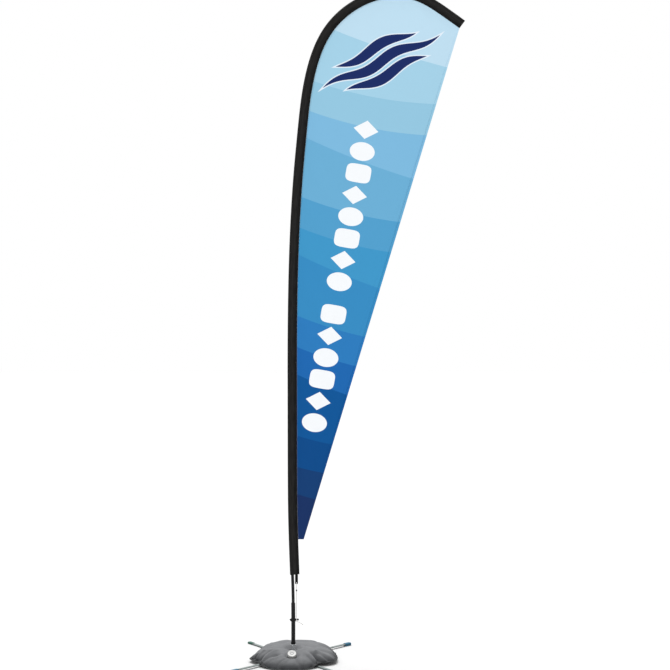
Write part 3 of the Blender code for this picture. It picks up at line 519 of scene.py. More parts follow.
@dataclass(frozen=True)
class CapMoulding(MouldedPlastic):
    """White polypropylene whose moulded ring is painted grey, as painted shade in its grooves."""

    ring: tuple[float, float] = (0.0070, 0.0118)
    span: float = 0.02
    # The two greys of the painted shade laid on the cap's ring.
    painted_shading: tuple[str, str] = ("#66676a", "#747578")

    def work(self, mix: Recipe) -> None:
        """The grain, and a grey band of painted shade where the UV's first value, the way out, is in the
        ring.
        """
        super().work(mix)
        way_out = mix.add("SeparateXYZ", {"Vector": mix.lay})
        share = mix.add("MapRange", {"Value": way_out, "From Max": self.span})
        low, high = (edge / self.span for edge in self.ring)
        places = (low - 0.03, low + 0.03, high - 0.04, high + 0.04)
        stops = zip(places, (self.colour, *self.painted_shading, self.colour))
        mix.give({"Base Color": mix.add("ValToRGB", {"Fac": share}, stops=stops)})


@dataclass(frozen=True)
class CoatedScrim(Finish):
    """Soft PVC rolled onto a polyester scrim: the threads show through as a faint square grid under a
    waxy film. Its top is painted lighter and its low parts darker: painted top light and shade."""

    thread: float = 3.2 * MILLIMETRE
    lit_top: str = "#5b5c5e"
    top_light_height: float = 0.075
    gloss: float = 0.1

    def work(self, mix: Recipe) -> None:
        """Two crossed waves make the scrim: 1 mm threads in the real one, drawn coarser to show."""
        # Painted top light and shade: the colour grows paler with height and in cloudy patches, and darker
        # low down.
        cloud = mix.add("TexNoise", {"Vector": mix.at, "Scale": 14.0, "Detail": 7.0, "Roughness": 0.62})
        axes = mix.add("SeparateXYZ", {"Vector": mix.at})
        height = mix.add("Math", {0: axes.outputs["Z"], 1: self.top_light_height}, operation="DIVIDE")
        lit_height = mix.add("Math", {0: cloud, 1: 0.5, 2: height}, operation="MULTIPLY_ADD")
        painted_shading = mix.add("ValToRGB", {"Fac": lit_height}, stops=((0.55, self.colour), (1.0, self.lit_top)))
        self.roughen(mix, 0.04, 0.09)
        threads = {"Vector": mix.lay, "Scale": 0.5 / self.thread}
        warp, weft = (
            mix.add("TexWave", threads, bands_direction=way).outputs["Fac"] for way in "XY"
        )
        weave = mix.add("Math", {0: warp, 1: weft}, operation="MULTIPLY")
        crinkle = mix.add("TexNoise", {"Vector": mix.at, "Scale": 26.0, "Detail": 6.0})
        mix.relief((weave, 0.25, 0.15 * MILLIMETRE), (crinkle, 0.5, 4 * MILLIMETRE))
        mix.give({"Base Color": painted_shading, "Specular IOR Level": self.gloss, "IOR": 1.53})


@dataclass(frozen=True)
class StretchSatin(Finish):
    """Black polyester and elastane satin: dark, with a faint sheen and a painted highlight that runs along
    the sleeve.
    """

    thread: float = 2.0 * MILLIMETRE
    # The colour of the painted highlight midway round each face.
    pale: str = "#201f1e"
    face: float = 0.070

    def work(self, mix: Recipe) -> None:
        """A diagonal twill rib on the sleeve's own UV: 0.3 mm in the real one, drawn coarser to show."""
        self.roughen(mix, 0.05, 0.06)
        self.painted_highlight(mix)
        slant = mix.add("Mapping", {"Vector": mix.lay, "Rotation": (0, 0, math.radians(45))})
        rib = mix.add("TexWave", {"Vector": slant, "Scale": 0.5 / self.thread})
        pucker = mix.add("Mapping", {"Vector": mix.lay, "Scale": (22.0, 60.0, 1.0)})
        crease = mix.add("TexNoise", {"Vector": pucker, "Scale": 1.0, "Detail": 3.0})
        mix.relief((rib.outputs["Fac"], 0.3, 0.1 * MILLIMETRE), (crease, 0.5, 1.2 * MILLIMETRE))
        mix.give({"Sheen Weight": 0.02, "Sheen Roughness": 0.4, "Specular IOR Level": 0.12})

    def painted_highlight(self, mix: Recipe) -> None:
        """Pales the satin midway round each face, over the pole, in streaks: a painted highlight."""
        parts = mix.add("SeparateXYZ", {"Vector": mix.lay})
        turn = mix.add("Math", {0: parts.outputs["Y"], 1: 2 * math.pi / self.face}, operation="MULTIPLY")
        slack = mix.add("Math", {0: turn}, operation="COSINE")
        drawn = mix.add("Mapping", {"Vector": mix.lay, "Scale": (14.0, 110.0, 1.0)})
        streak = mix.add("TexNoise", {"Vector": drawn, "Scale": 1.0, "Detail": 4.0})
        share = mix.add("Math", {0: slack, 1: -0.2, 2: streak}, operation="MULTIPLY_ADD")
        stops = ((0.3, self.colour), (0.8, self.pale))
        mix.give({"Base Color": mix.add("ValToRGB", {"Fac": share}, stops=stops)})


@dataclass(frozen=True)
class RibbedWebbing(Finish):
    """Woven nylon webbing: cross ribs a couple of millimetres apart, matt, with fuzzy edges."""

    rib: float = 1.8 * MILLIMETRE

    def work(self, mix: Recipe) -> None:
        """Waves down the strap for the ribs and across it for the warp threads."""
        self.mottle(mix, 0.01, 0.25)
        cross = {"Vector": mix.at, "Scale": 0.5 / self.rib, "Distortion": 0.6}
        ribs = mix.add("TexWave", cross, bands_direction="Z")
        warp = mix.add("TexWave", {"Vector": mix.at, "Scale": 0.8 / self.rib}, bands_direction="X")
        both = mix.add("Math", {0: ribs.outputs["Fac"], 1: warp.outputs["Fac"]}, operation="ADD")
        mix.relief((both, 0.8, 0.3 * MILLIMETRE))
        mix.give({"Sheen Weight": 0.03, "Specular IOR Level": 0.15})


@dataclass(frozen=True)
class BraidedElastic(Finish):
    """Elastic cord in a braided polyester cover: small diamonds that wind both ways round it."""

    pitch: float = 3.2 * MILLIMETRE
    strands: float = 8.0
    shaded: str = "#c4c4c0"

    def work(self, mix: Recipe) -> None:
        """Two opposite spirals on the cord's UV; where they cross, the cover stands up, and the grooves
        between are painted in shade.
        """
        spirals = []
        for hand in (1, -1):
            total = mix.spiral(self.pitch, hand * self.strands)
            turn = mix.add("Math", {0: total, 1: math.pi}, operation="MULTIPLY")
            spirals.append(mix.add("Math", {0: turn}, operation="SINE"))
        braid = mix.add("Math", {0: spirals[0], 1: spirals[1]}, operation="MULTIPLY")
        cover = mix.add("ValToRGB", {"Fac": braid}, stops=((0.0, self.shaded), (0.5, self.colour)))
        mix.relief((braid, 0.7, 0.3 * MILLIMETRE))
        mix.give({"Base Color": cover, "Sheen Weight": 0.3})


@dataclass(frozen=True)
class WrappedComposite(Finish):
    """Glass and carbon tube: the film wound round it as it cured leaves a shallow spiral."""

    wrap: float = 9.0 * MILLIMETRE

    def work(self, mix: Recipe) -> None:
        """A saw-tooth wave along the pole's UV, one tooth for each turn of the film."""
        self.mottle(mix, 0.03, 0.2)
        self.roughen(mix, 0.02, 0.05)
        tooth = mix.add("Math", {0: mix.spiral(self.wrap, 1)}, operation="FRACT")
        mix.relief((tooth, 0.5, 0.15 * MILLIMETRE))
        mix.give({"Specular IOR Level": 0.2, "Coat Weight": 0.06, "Coat Roughness": 0.15})


@dataclass(frozen=True)
class BandFamily:
    """One family of printed band edges: they repeat down the flag and fall away from the sleeve."""

    top: float
    slope: float
    bend: float


@dataclass(frozen=True)
class PrintedKnit(Finish):
    """Dye-sublimated warp-knit polyester: matt ink colours in wavy bands, from pale sky at the top to navy
    at the tail, with a navy wave emblem and a column of plain white shapes."""

    repeat: float = 0.747
    flatter_below: tuple[float, float] = (1.20, 1.75)
    flatter_to: float = 0.62
    families: tuple[BandFamily, ...] = (
        BandFamily(4.015, 0.50, -0.14),
        BandFamily(3.630, 0.42, -0.23),
        BandFamily(3.435, 0.42, -0.23),
    )
    bands: str = (
        "#bddcee #a3cfe5 #93c5de #7db8dc #6badd3 #529ecb #4096c7 #388bc1 #2e7bbc #2067af #115697 #0f4b89 "
        "#173f74 #1b3363"
    )
    mark_start: tuple[float, float] = (0.4507, 3.2764)
    mark_lean: float = math.radians(10.0)
    mark_pitch: float = 0.1364
    mark_count: int = 14
    mark_break: int = 8
    mark_half: tuple[float, float] = (0.57, 0.42)
    emblem_centre: tuple[float, float] = (0.545, 3.700)
    emblem_rise: float = math.radians(25.0)
    # For each wave bar, its height above the emblem's middle, half its length and its shift.
    emblem_bars: tuple[tuple[float, float, float], ...] = (
        (0.085, 0.27, 0.6),
        (0.0, 0.40, 0.0),
        (-0.085, 0.27, -0.6),
    )
    emblem_half: float = 0.034
    emblem_outline: float = 0.007
    emblem_wave: tuple[float, float] = (15.0, 0.018)

    def work(self, mix: Recipe) -> None:
        """Bands, then the emblem, then the white shapes, each laid over what is under it."""
        colour = self.band_colour(mix).outputs["Color"]
        for mask, ink in (*self.emblem(mix), *self.marks(mix)):
            laid = mix.add("Mix", {"Factor": mask}, data_type="RGBA")
            mix.tree.links.new(colour, laid.inputs["A"])
            laid.inputs["B"].default_value = linear(ink)
            colour = laid.outputs["Result"]
        mix.give({"Base Color": colour, "Specular IOR Level": 0.05})
        self.knit(mix)

    def band_colour(self, mix: Recipe) -> Node:
        """The colour ramp of the bands, read at the count of band edges above a point."""
        axes = mix.add("SeparateXYZ", {"Vector": mix.at})
        x, z = axes.outputs["X"], axes.outputs["Z"]
        low, high = self.flatter_below
        easing = {"Value": z, "From Min": low, "From Max": high, "To Min": self.flatter_to}
        steep = mix.add("MapRange", easing)
        fall = mix.add("Math", {0: x, 1: steep}, operation="MULTIPLY")
        count: Node | float = 0.0
        for family in self.families:
            slope = mix.add("Math", {0: x, 1: family.bend, 2: family.slope}, operation="MULTIPLY_ADD")
            height = mix.add("Math", {0: fall, 1: slope, 2: z}, operation="MULTIPLY_ADD")
            below = mix.add("Math", {0: family.top, 1: height}, operation="SUBTRACT")
            turns = mix.add("Math", {0: below, 1: self.repeat}, operation="DIVIDE")
            whole = mix.add("Math", {0: turns}, operation="CEIL")
            crossed = mix.add("Math", {0: whole, 1: 0.0}, operation="MAXIMUM")
            count = mix.add("Math", {0: count, 1: crossed}, operation="ADD")
        shades = self.bands.split()
        total = len(shades)
        share = mix.add("Math", {0: count, 1: 1 / total, 2: 0.5 / total}, operation="MULTIPLY_ADD")
        stops = [(i / total, shade) for i, shade in enumerate(shades)]
        ramp = mix.add("ValToRGB", {"Fac": share}, stops=stops)
        ramp.color_ramp.interpolation = "CONSTANT"
        return ramp

    def emblem(self, mix: Recipe) -> list[tuple[Node, str]]:
        """Three wavy bars that taper to both ends, navy with a pale outline.

        A bar is where its half height, a parabola along it, exceeds the distance from its sine line.

        Args:
            mix: the material's nodes.

        Returns:
            Pairs of a mask and the ink it lays on.
        """
        centre_x, centre_z = self.emblem_centre
        turned_by = {"Location": (centre_x, 0, centre_z), "Rotation": (0, -self.emblem_rise, 0)}
        local = mix.add("Mapping", {"Vector": mix.at, **turned_by}, vector_type="TEXTURE")
        axes = mix.add("SeparateXYZ", {"Vector": local})
        x, z = axes.outputs["X"], axes.outputs["Z"]
        rate, swing = self.emblem_wave
        tall = self.emblem_half
        field: Node | float = -1.0
        for lift, half_length, shift in self.emblem_bars:
            turn = mix.add("Math", {0: x, 1: rate, 2: shift}, operation="MULTIPLY_ADD")
            wave = mix.add("Math", {0: turn}, operation="SINE")
            middle = mix.add("Math", {0: wave, 1: swing, 2: lift}, operation="MULTIPLY_ADD")
            off = mix.add("Math", {0: z, 1: middle}, operation="SUBTRACT")
            distance = mix.add("Math", {0: off}, operation="ABSOLUTE")
            square = mix.add("Math", {0: x, 1: x}, operation="MULTIPLY")
            dome = {0: square, 1: -tall / half_length**2, 2: tall}
            height = mix.add("Math", dome, operation="MULTIPLY_ADD")
            inside = mix.add("Math", {0: height, 1: distance}, operation="SUBTRACT")
            field = mix.add("Math", {0: field, 1: inside}, operation="MAXIMUM")
        return [
            (mix.add("Math", {0: field, 1: edge}, operation="GREATER_THAN"), ink)
            for edge, ink in ((-self.emblem_outline, "#e3eef8"), (0.0, "#1d2d63"))
        ]

    def marks(self, mix: Recipe) -> list[tuple[Node, str]]:
        """A leaning column of white shapes: diamond, oval and block in turn.

        All three are (|a|^p + |b|^p) < 1 with p = 1, 2 and 4.

        Args:
            mix: the material's nodes.

        Returns:
            Pairs of a mask and the ink it lays on.
        """
        start_x, start_z = self.mark_start
        laid = {
            "Location": (start_x, 0, start_z),
            "Rotation": (0, self.mark_lean, 0),
            "Scale": (self.mark_pitch, 1, -self.mark_pitch),
        }
        local = mix.add("Mapping", {"Vector": mix.at, **laid}, vector_type="TEXTURE")
        axes = mix.add("SeparateXYZ", {"Vector": local})
        across, down = axes.outputs["X"], axes.outputs["Z"]
        late = mix.add("Math", {0: down, 1: self.mark_break}, operation="GREATER_THAN")
        step = mix.add("Math", {0: late, 1: -0.5, 2: down}, operation="MULTIPLY_ADD")
        number = mix.add("Math", {0: step}, operation="ROUND")
        within = mix.add("Math", {0: step, 1: number}, operation="SUBTRACT")
        kind = mix.add("Math", {0: number, 1: 3.0}, operation="FLOORED_MODULO")
        power = mix.add("Math", {0: 2.0, 1: kind}, operation="POWER")
        norm: Node | float = 0.0
        for part, half in zip((across, within), self.mark_half):
            share = mix.add("Math", {0: part, 1: half}, operation="DIVIDE")
            size = mix.add("Math", {0: share}, operation="ABSOLUTE")
            raised = mix.add("Math", {0: size, 1: power}, operation="POWER")
            norm = mix.add("Math", {0: norm, 1: raised}, operation="ADD")
        mask = mix.add("Math", {0: norm, 1: 1.0}, operation="LESS_THAN")
        blank = mix.add("Math", {0: down, 1: self.mark_break - 0.25, 2: 0.25}, operation="COMPARE")
        for limit in (
            mix.add("Math", {0: number, 1: -0.5}, operation="GREATER_THAN"),
            mix.add("Math", {0: number, 1: self.mark_count - 0.5}, operation="LESS_THAN"),
            mix.add("Math", {0: 1.0, 1: blank}, operation="SUBTRACT"),
        ):
            mask = mix.add("Math", {0: mask, 1: limit}, operation="MULTIPLY")
        return [(mask, "#f4f7fa")]

    def knit(self, mix: Recipe) -> None:
        """The knit's tiny loops and the cloth's soft handling creases, as bump.

        The loops are 0.8 mm in the real cloth, drawn at 2.5 mm so that they show.
        """
        loops = mix.add("TexVoronoi", {"Vector": mix.at, "Scale": 1 / (2.5 * MILLIMETRE)})
        creases = mix.add("TexNoise", {"Vector": mix.at, "Scale": 7.0, "Detail": 3.0})
        mix.relief((loops, 0.25, 0.1 * MILLIMETRE), (creases, 0.25, 4 * MILLIMETRE))
        self.roughen(mix, 0.03, 0.05)


UPPER_ARM_TURN = math.radians(44.6)
LOWER_ARM_TURN = math.radians(127.0)

UPPER_BAR, LOWER_BAR = (
    GrainedMetal(f"zinc plated flat bar, {bar}", "#6c7271", 0.62, 0.3, gloss=0.15, turn=turn)
    for bar, turn in (("upper", UPPER_ARM_TURN), ("lower", LOWER_ARM_TURN))
)
ZINC = GrainedMetal("zinc plated turned steel", "#b4b6b3", 0.32, 1.0)
CHROME = GrainedMetal("chromium plate", "#eceeef", 0.22, 1.0, depth=0.005 * MILLIMETRE)
BEARING = GrainedMetal("ground bearing steel", "#c2c4c8", 0.18, 1.0)
BRASS = GrainedMetal("stamped brass", "#c8a765", 0.30, 1.0)
BLACKED = GrainedMetal("black-oxide brass eyelet", "#232324", 0.42, 1.0)
FERRULE = GrainedMetal("anodised aluminium ferrule", "#b9bcbf", 0.30, 1.0)
BLUE_TIP = MouldedPlastic("moulded ABS, blue teal", "#0f4d66", 0.45, gloss=0.3)
GREEN_TIP = MouldedPlastic("moulded ABS, green teal", "#0d4436", 0.45, gloss=0.3)
NYLON = MouldedPlastic("moulded black nylon", "#0b0b0c", 0.42, gloss=0.2)
CAP_PLASTIC = CapMoulding("moulded white polypropylene", "#acacaa", 0.45, gloss=0.3)
RUBBER = MouldedPlastic("moulded seal rubber", "#1a1a1a", 0.8)
PVC = CoatedScrim("PVC coated scrim", "#3a3b3d", 0.6)
# The weld: the bag's PVC painted darker, as painted shade along the rim.
SHADED_WELD = CoatedScrim("PVC coated scrim, welded, in painted shade", "#262728", 0.6, lit_top="#323335")
SATIN = StretchSatin("black stretch satin", "#040404", 0.5)
PRINT = PrintedKnit("printed warp-knit polyester", "#529ecb", 0.72)
WEBBING = RibbedWebbing("black nylon webbing", "#0d0d0d", 0.85)
# Real thread is 0.4 mm thick with stitches 3 mm apart, both drawn coarser to show.
THREAD = RibbedWebbing("twisted black polyester thread", "#232323", 0.5, rib=0.9 * MILLIMETRE)
ELASTIC = BraidedElastic("braided white elastic", "#e6e6e2", 0.78)
COMPOSITE = WrappedComposite("wound composite tube", "#08080a", 0.3)

CAD_FINISHES: dict[Finish, tuple[str, ...]] = {
    UPPER_BAR: ("upper_arm",),
    LOWER_BAR: ("lower_arm",),
    ZINC: (
        "pivot_boss",
        "swivel_housing",
        "bearing_spacer_ring",
        "inner_spacer_tube",
        "lock_washer",
        "lock_nut",
    ),
    BEARING: (
        *(f"{end}_bearing_{ring}_ring" for ring in ("outer", "inner") for end in ("lower", "upper")),
        "bearing_retaining_ring",
    ),
    BRASS: ("arm_washer", "lower_bearing_ball_cage", "upper_bearing_ball_cage"),
    BLACKED: ("tab_eyelet",),
    FERRULE: tuple(f"pole_ferrule_{number}" for number in (1, 2, 3)),
    NYLON: ("foot_collar", "pole_tip_plug", "cord_clamp", "hook_collar"),
    PVC: ("bag_filler_neck",),
    RUBBER: ("cap_gasket",),
    COMPOSITE: tuple(f"pole_section_{number}" for number in (2, 3, 4)),
}


def dress_frame() -> None:
    """Gives every CAD node that stays in view its finish."""
    for finish, names in CAD_FINISHES.items():
        for name in names:
            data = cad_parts[name].data
            data.materials.clear()
            data.materials.append(finish.material())
            LOG.info("%s: %s", name, finish.name)


# ------------------------------------------------------------
# The object's sub-assemblies
# ------------------------------------------------------------


@dataclass
class TensionCord:
    """The elastic cord from the sleeve's tab to the hook, its two knots and the webbing tab."""

    diameter: float = 0.0040
    steps: int = 320
    knot_radius: float = 0.0045
    tab_x: float = 0.0200
    tab_width: float = 0.0180
    tab_length: float = 0.060
    tab_half_thickness: float = 0.0012
    eyelet_height: float = 0.0110
    eyelet_hole: float = 0.0045
    blend_start: float = 0.418
    blend_end: float = 0.262

    def route(self) -> Array:
        """Evenly spaced points on a smooth curve through the route's own."""
        route = np.array(CORD_ROUTE)
        chord = lengths_along(route)
        fine = np.linspace(0, chord[-1], 2000)
        curve = np.stack([smooth_curve(chord, route[:, i], fine) for i in range(3)], axis=1)
        walked = lengths_along(curve)
        even = np.linspace(0, walked[-1], self.steps)
        return np.stack([np.interp(even, walked, curve[:, i]) for i in range(3)], axis=1)

    def knot(self, name: str, centre: Array, axis: Array) -> Piece:
        """An overhand knot: a thick line that runs three times round a small ring and twice through it.

        Args:
            name: the knot's name.
            centre: its middle.
            axis: the direction that the cord enters it.

        Returns:
            The knot's object.
        """
        t = whole_turn(180)
        ring, lift = 0.0021, 0.0012
        out = np.stack([np.cos(2 * t), np.sin(2 * t), np.zeros_like(t)], axis=1)
        up = np.array([0.0, 0.0, 1.0])
        spoke = out * np.cos(3 * t)[:, None] + up * np.sin(3 * t)[:, None]
        path = out * ring + spoke * lift
        axis = unit(axis)
        side = unit(np.cross(axis, [0.3, 0.9, 0.1]))
        basis = np.stack([side, np.cross(axis, side), axis])
        sheet = tube(path @ basis + centre, spoke @ basis, np.full(len(t), 0.0017), 14, capped=False)
        return make_piece(name, [sheet], ELASTIC, sharp=80)

    def build(self) -> None:
        path = self.route()
        leaning = np.array([0.75, 0.55, 0.37]) * np.ones_like(path)
        radius = np.full(len(path), self.diameter / 2)
        cord = make_piece("cord_elastic", [tube(path, leaning, radius, 16, capped=True)], ELASTIC, sharp=60)
        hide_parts("elastic_cord")
        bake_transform(cord)
        reach = self.knot_radius + 0.0003
        for name, node, end, beside, body in (
            ("knot_behind_eyelet", "cord_stop_knot", path[0], path[1], Body.POLE),
            ("knot_on_tail", "cord_tail_knot", path[-1], path[-2], Body.HOOK),
        ):
            away = unit(end - beside)
            knot = self.knot(name, end + away * (reach - 0.0018), away)
            settle(knot, body, "white_cord", node)
        self.build_tab()

    def build_tab(self) -> None:
        """The doubled webbing tab: rings that grow from the eyelet's hole to the strap's outline.

        The outline is |x/a|^n + |z/b|^n = 1 with a large n, and the strap thins to a rounded edge.
        """
        low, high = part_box("webbing_tab")
        top, foot = high.z, low.z
        hole_z = foot + self.eyelet_height
        turn = whole_turn(144)
        share = np.linspace(0, 1, 16)[:, None]
        middle = (top + foot) / 2
        half_x, half_z = self.tab_width / 2, (top - foot) / 2
        flat = 14.0
        c, s = np.cos(turn), np.sin(turn)
        # How far each ray from the hole's centre goes before it meets the outline, found by halving.
        near, far = np.zeros_like(turn), np.full_like(turn, 0.08)
        for _ in range(40):
            guess = (near + far) / 2
            across = np.abs(guess * c / half_x) ** flat
            inside = across + np.abs((hole_z + guess * s - middle) / half_z) ** flat < 1
            near, far = np.where(inside, guess, near), np.where(inside, far, guess)
        out = self.eyelet_hole + share * (near - self.eyelet_hole)
        x = self.tab_x + out * c
        z = hole_z + out * s
        thick = self.tab_half_thickness * (1 - 0.9 * share**18) + 0 * turn
        sheets = []
        for side in (-1, 1):
            points = stacked(x, side * thick, z)
            sheets.append(Sheet(points, stacked(x, z)))
        for row in (0, -1):
            rim = np.stack([sheets[0].points[row], sheets[1].points[row]])
            sheets.append(Sheet(rim, rim[..., [0, 2]]))
        tab = make_piece("tab_of_webbing", sheets, WEBBING, sharp=50)
        settle(tab, Body.POLE, "black_webbing", "webbing_tab")


@dataclass
class Pole:
    """The foot tube and the lowest section, which show below the sleeve."""

    line: PoleLine
    foot_length: float = 0.255
    foot_radius: float = 0.0127
    foot_bore: float = 0.0105
    section_start: float = 0.145
    section_end: float = 1.2997
    section_radii: tuple[float, float] = (0.0096, 0.0090)
    section_wall: float = 0.0018

    def length(
        self, name: str, node: str, start: float, end: float, radii: tuple[float, float], thickness: float
    ) -> None:
        """One composite tube with rounded ends.

        Args:
            name: the piece's name.
            node: the CAD node that it stands for.
            start: arc length of its lower end.
            end: arc length of its upper end.
            radii: outside radius at each end.
            thickness: of its wall.
        """
        inner = np.linspace(start + 0.003, end - 0.003, 160)
        s = np.concatenate([[start, start + 0.0006], inner, [end - 0.0006, end]])
        share = (s - start) / (end - start)
        radius = radii[0] + (radii[1] - radii[0]) * share
        radius[[0, -1]] -= 0.0006
        path = self.line.points(s)
        sheet = tube(path, np.array([0.0, 1.0, 0.0]) * np.ones_like(path), radius, 40, capped=False)
        piece = make_piece(name, [sheet], COMPOSITE, sharp=50)
        wall(piece, thickness)
        settle(piece, Body.POLE, "black_composite", node)

    def build(self) -> None:
        """Makes both tubes."""
        round_foot, thick_foot = (self.foot_radius, self.foot_radius), self.foot_radius - self.foot_bore
        self.length("tube_at_foot", "foot_tube", 0.0, self.foot_length, round_foot, thick_foot)
        start, end = self.section_start, self.section_end
        radii, thick = self.section_radii, self.section_wall
        self.length("tube_section_lowest", "pole_section_1", start, end, radii, thick)


@dataclass
class Sleeve:
    """The black stretch sleeve: round over the pole, then drawn in flat to the seam that holds the flag."""

    line: PoleLine
    start: float = 0.431
    end: float = 4.830
    pocket_end: float = 4.800
    radius: float = 0.0152
    seam: float = 0.0435
    seam_half: float = 0.0009
    cloth: float = 0.0008
    mouth_hem: float = 0.018
    step: float = 0.0065
    stitch_pitch: float = 0.0070
    stitch_length: float = 0.0050
    thread: float = 0.0005
    stitch_in: tuple[float, float] = (0.0045, 0.0085)

    def section(self) -> tuple[Array, Array]:
        """The outline's two coordinates: across towards the flag, and half its thickness there.

        Over the pole it is a circle; past 70 degrees the cloth leaves the circle on a cubic that lies
        along the circle at first and along the middle plane at the seam.
        """
        turn = np.radians(np.linspace(180, 70, 14))
        round_across = self.radius * np.cos(turn)
        round_half = self.radius * np.sin(turn)
        u = np.linspace(0, 1, 14)[1:]
        a0, h0 = round_across[-1], round_half[-1]
        span = self.seam - a0
        slope = -math.cos(turn[-1]) / math.sin(turn[-1]) * span
        across = a0 + span * u
        half = (2 * u**3 - 3 * u**2 + 1) * h0 + (u**3 - 2 * u**2 + u) * slope
        half += (3 * u**2 - 2 * u**3) * self.seam_half
        return np.concatenate([round_across, across]), np.concatenate([round_half, half])

    def build(self) -> Piece:
        """Carries the outline along the pole and lets the cloth pucker.

        Returns:
            The sleeve.
        """
        across, half = self.section()
        across = np.concatenate([across[::-1], across[1:]])
        half = np.concatenate([half[::-1], -half[1:]])
        s = np.linspace(self.start, self.end, int((self.end - self.start) / self.step))
        station, loop = s[:, None], np.linspace(-1, 1, len(across))[None, :]
        edge = np.abs(loop)
        closing = 1 - ease(self.pocket_end - 0.012, self.end - 0.006, station)
        flatness = closing * (1 - 0.06) + 0.06
        arch = ease(3.35, 3.8, station)
        pull = (0.00030 + 0.00085 * arch) * ease(0.25, 0.8, edge)
        wrinkle = np.sin(2 * math.pi * station / 0.047 + 2.1 * np.sin(station * 9.0) + 1.6 * loop)
        wrinkle += 0.6 * np.sin(2 * math.pi * station / 0.029 + 1.7 * np.sin(station * 13.0) - 2.3 * loop)
        slack = 0.0006 * np.sin(station * 4.1 + 1.0) * (1 - edge**2)
        hem = 0.0006 * (1 - ease(self.mouth_hem - 0.002, self.mouth_hem, station - self.start))
        swell = 1 + (pull * wrinkle + slack + hem) / self.radius
        side = half[None, :] * flatness * swell
        lie = across[None, :] * (1 + 0.012 * closing * np.sin(station * 5.3) * (1 - edge))
        points = self.line.points(np.broadcast_to(station, side.shape), lie, side)
        around = lengths_along(np.stack([across, half], axis=1))
        uv = stacked(station, around[None, :])
        last = points[-1].copy()
        last[:, 1] = 0
        points = np.concatenate([points, last[None]])
        uv = np.concatenate([uv, uv[-1:]])
        sleeve = make_piece("cloth_sleeve", [Sheet(points, uv)], SATIN, sharp=70)
        wall(sleeve, self.cloth)
        settle(sleeve, Body.POLE, "black_satin", "pole_sleeve")
        self.seam_stitching()
        return sleeve

    def seam_stitching(self) -> Piece:
        """Two rows of stitches on each face, beside the seam that holds the flag.

        Returns:
            All four rows as one piece.
        """
        across, half = self.section()
        s = np.linspace(self.start, self.pocket_end - self.mouth_hem, 3000)
        rows: list[Sheet] = []
        for inset in self.stitch_in:
            lie = self.seam - inset
            side = float(np.interp(lie, across, half)) + self.thread / 3
            for face in (-1.0, 1.0):
                row = self.line.points(s, lie, face * side)
                rows += stitches(row, face, self.stitch_pitch, self.stitch_length, self.thread)
        thread = make_piece("stitching_of_seam", rows, THREAD, sharp=80)
        settle(thread, Body.POLE, "black_satin")
        return thread


